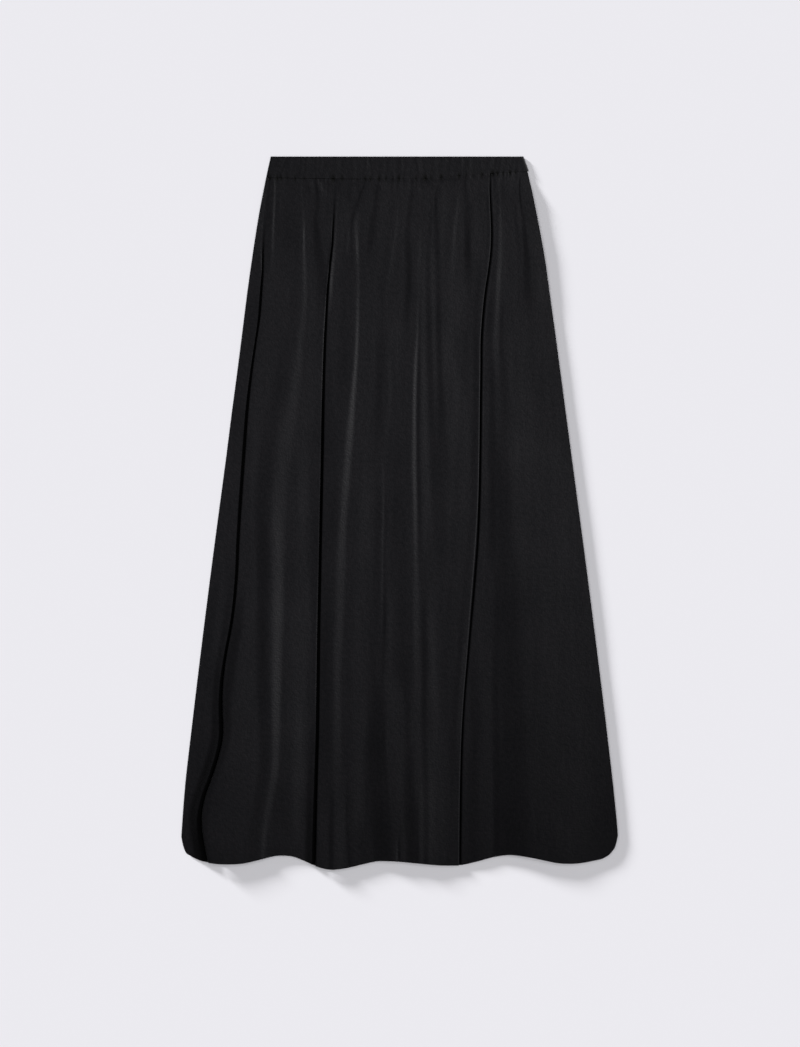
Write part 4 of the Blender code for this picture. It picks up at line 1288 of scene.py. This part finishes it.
deselect()
bpy.ops.mesh.primitive_plane_add(size=FLOOR_SIZE, location=(0.0, 0.0, FLOOR_LEVEL))
floor = bpy.context.object
floor.name = "floor"
paper = bpy.data.materials.new("pale paper")
paper.use_nodes = True
face = paper.node_tree.nodes["Principled BSDF"].inputs
face["Base Color"].default_value = linear("#e6e5ea")
face["Roughness"].default_value = 1.0
face["Specular IOR Level"].default_value = 0.0
floor.data.materials.append(paper)
print("floor", FLOOR_SIZE, "m wide")

# %% Light
WORLD_LIGHT = 0.1


def add_lamp(name, kind, strength, place, target, lit):
    """A lamp at a place that shines on a target and lights only some objects."""
    light = bpy.data.lights.new(name, kind)
    light.energy = strength
    lamp = bpy.data.objects.new(name, light)
    bpy.context.scene.collection.objects.link(lamp)
    lamp.location = place
    lamp.rotation_mode = "QUATERNION"
    lamp.rotation_quaternion = (Vector(target) - Vector(place)).to_track_quat("-Z", "Y")
    group = bpy.data.collections.new(name + " lights")
    for obj in lit:
        group.objects.link(obj)
    lamp.light_linking.receiver_collection = group
    return light


skirt_middle = (0.0, 0.0, 0.0)
low_sun = add_lamp("shadow lamp", "SUN", strength=5.7, place=(-1.08, 0.9, 0.31),
                   target=skirt_middle, lit=[floor])
low_sun.angle = math.radians(10.0)
high_sun = add_lamp("floor fill", "SUN", strength=1.77, place=(0.0, 0.0, 1.0),
                    target=skirt_middle, lit=[floor])
high_sun.angle = math.radians(60.0)
strip = add_lamp("strip softbox", "AREA", strength=10.25, place=(4.6, 2.0, 3.3),
                 target=(-0.34, 0.045, 0.0), lit=[front, back, band])
strip.shape = "RECTANGLE"
strip.size = 0.72
strip.size_y = 0.7
strip.spread = math.radians(20.5)

world = bpy.data.worlds.new("studio")
bpy.context.scene.world = world
world.use_nodes = True
sky = world.node_tree.nodes["Background"].inputs
sky["Color"].default_value = (1.0, 1.0, 1.0, 1.0)
sky["Strength"].default_value = WORLD_LIGHT
bpy.context.scene.view_settings.view_transform = "Standard"
print("lamps:", [light.name for light in (low_sun, high_sun, strip)])

# %% Camera
FRAME_COLUMNS = 800
FRAME_ROWS = 1047
MIDDLE_Y = 512.95                # row of the frame that the skirt's middle falls on
CAMERA_HEIGHT = 4.0
SENSOR = 36.0

pixel = PIXEL * MM               # m
camera_data = bpy.data.cameras.new("camera")
camera_data.sensor_width = SENSOR
camera_data.lens = SENSOR / 2 / (FRAME_ROWS * pixel / 2 / CAMERA_HEIGHT)
camera = bpy.data.objects.new("camera", camera_data)
bpy.context.scene.collection.objects.link(camera)
camera.location = ((FRAME_COLUMNS / 2 - MIDDLE_X) * pixel, (MIDDLE_Y - FRAME_ROWS / 2) * pixel,
                   CAMERA_HEIGHT)
camera.rotation_euler = (0.0, 0.0, 0.0)
bpy.context.scene.camera = camera
print("lens", round(camera_data.lens, 1), "mm at", CAMERA_HEIGHT, "m")
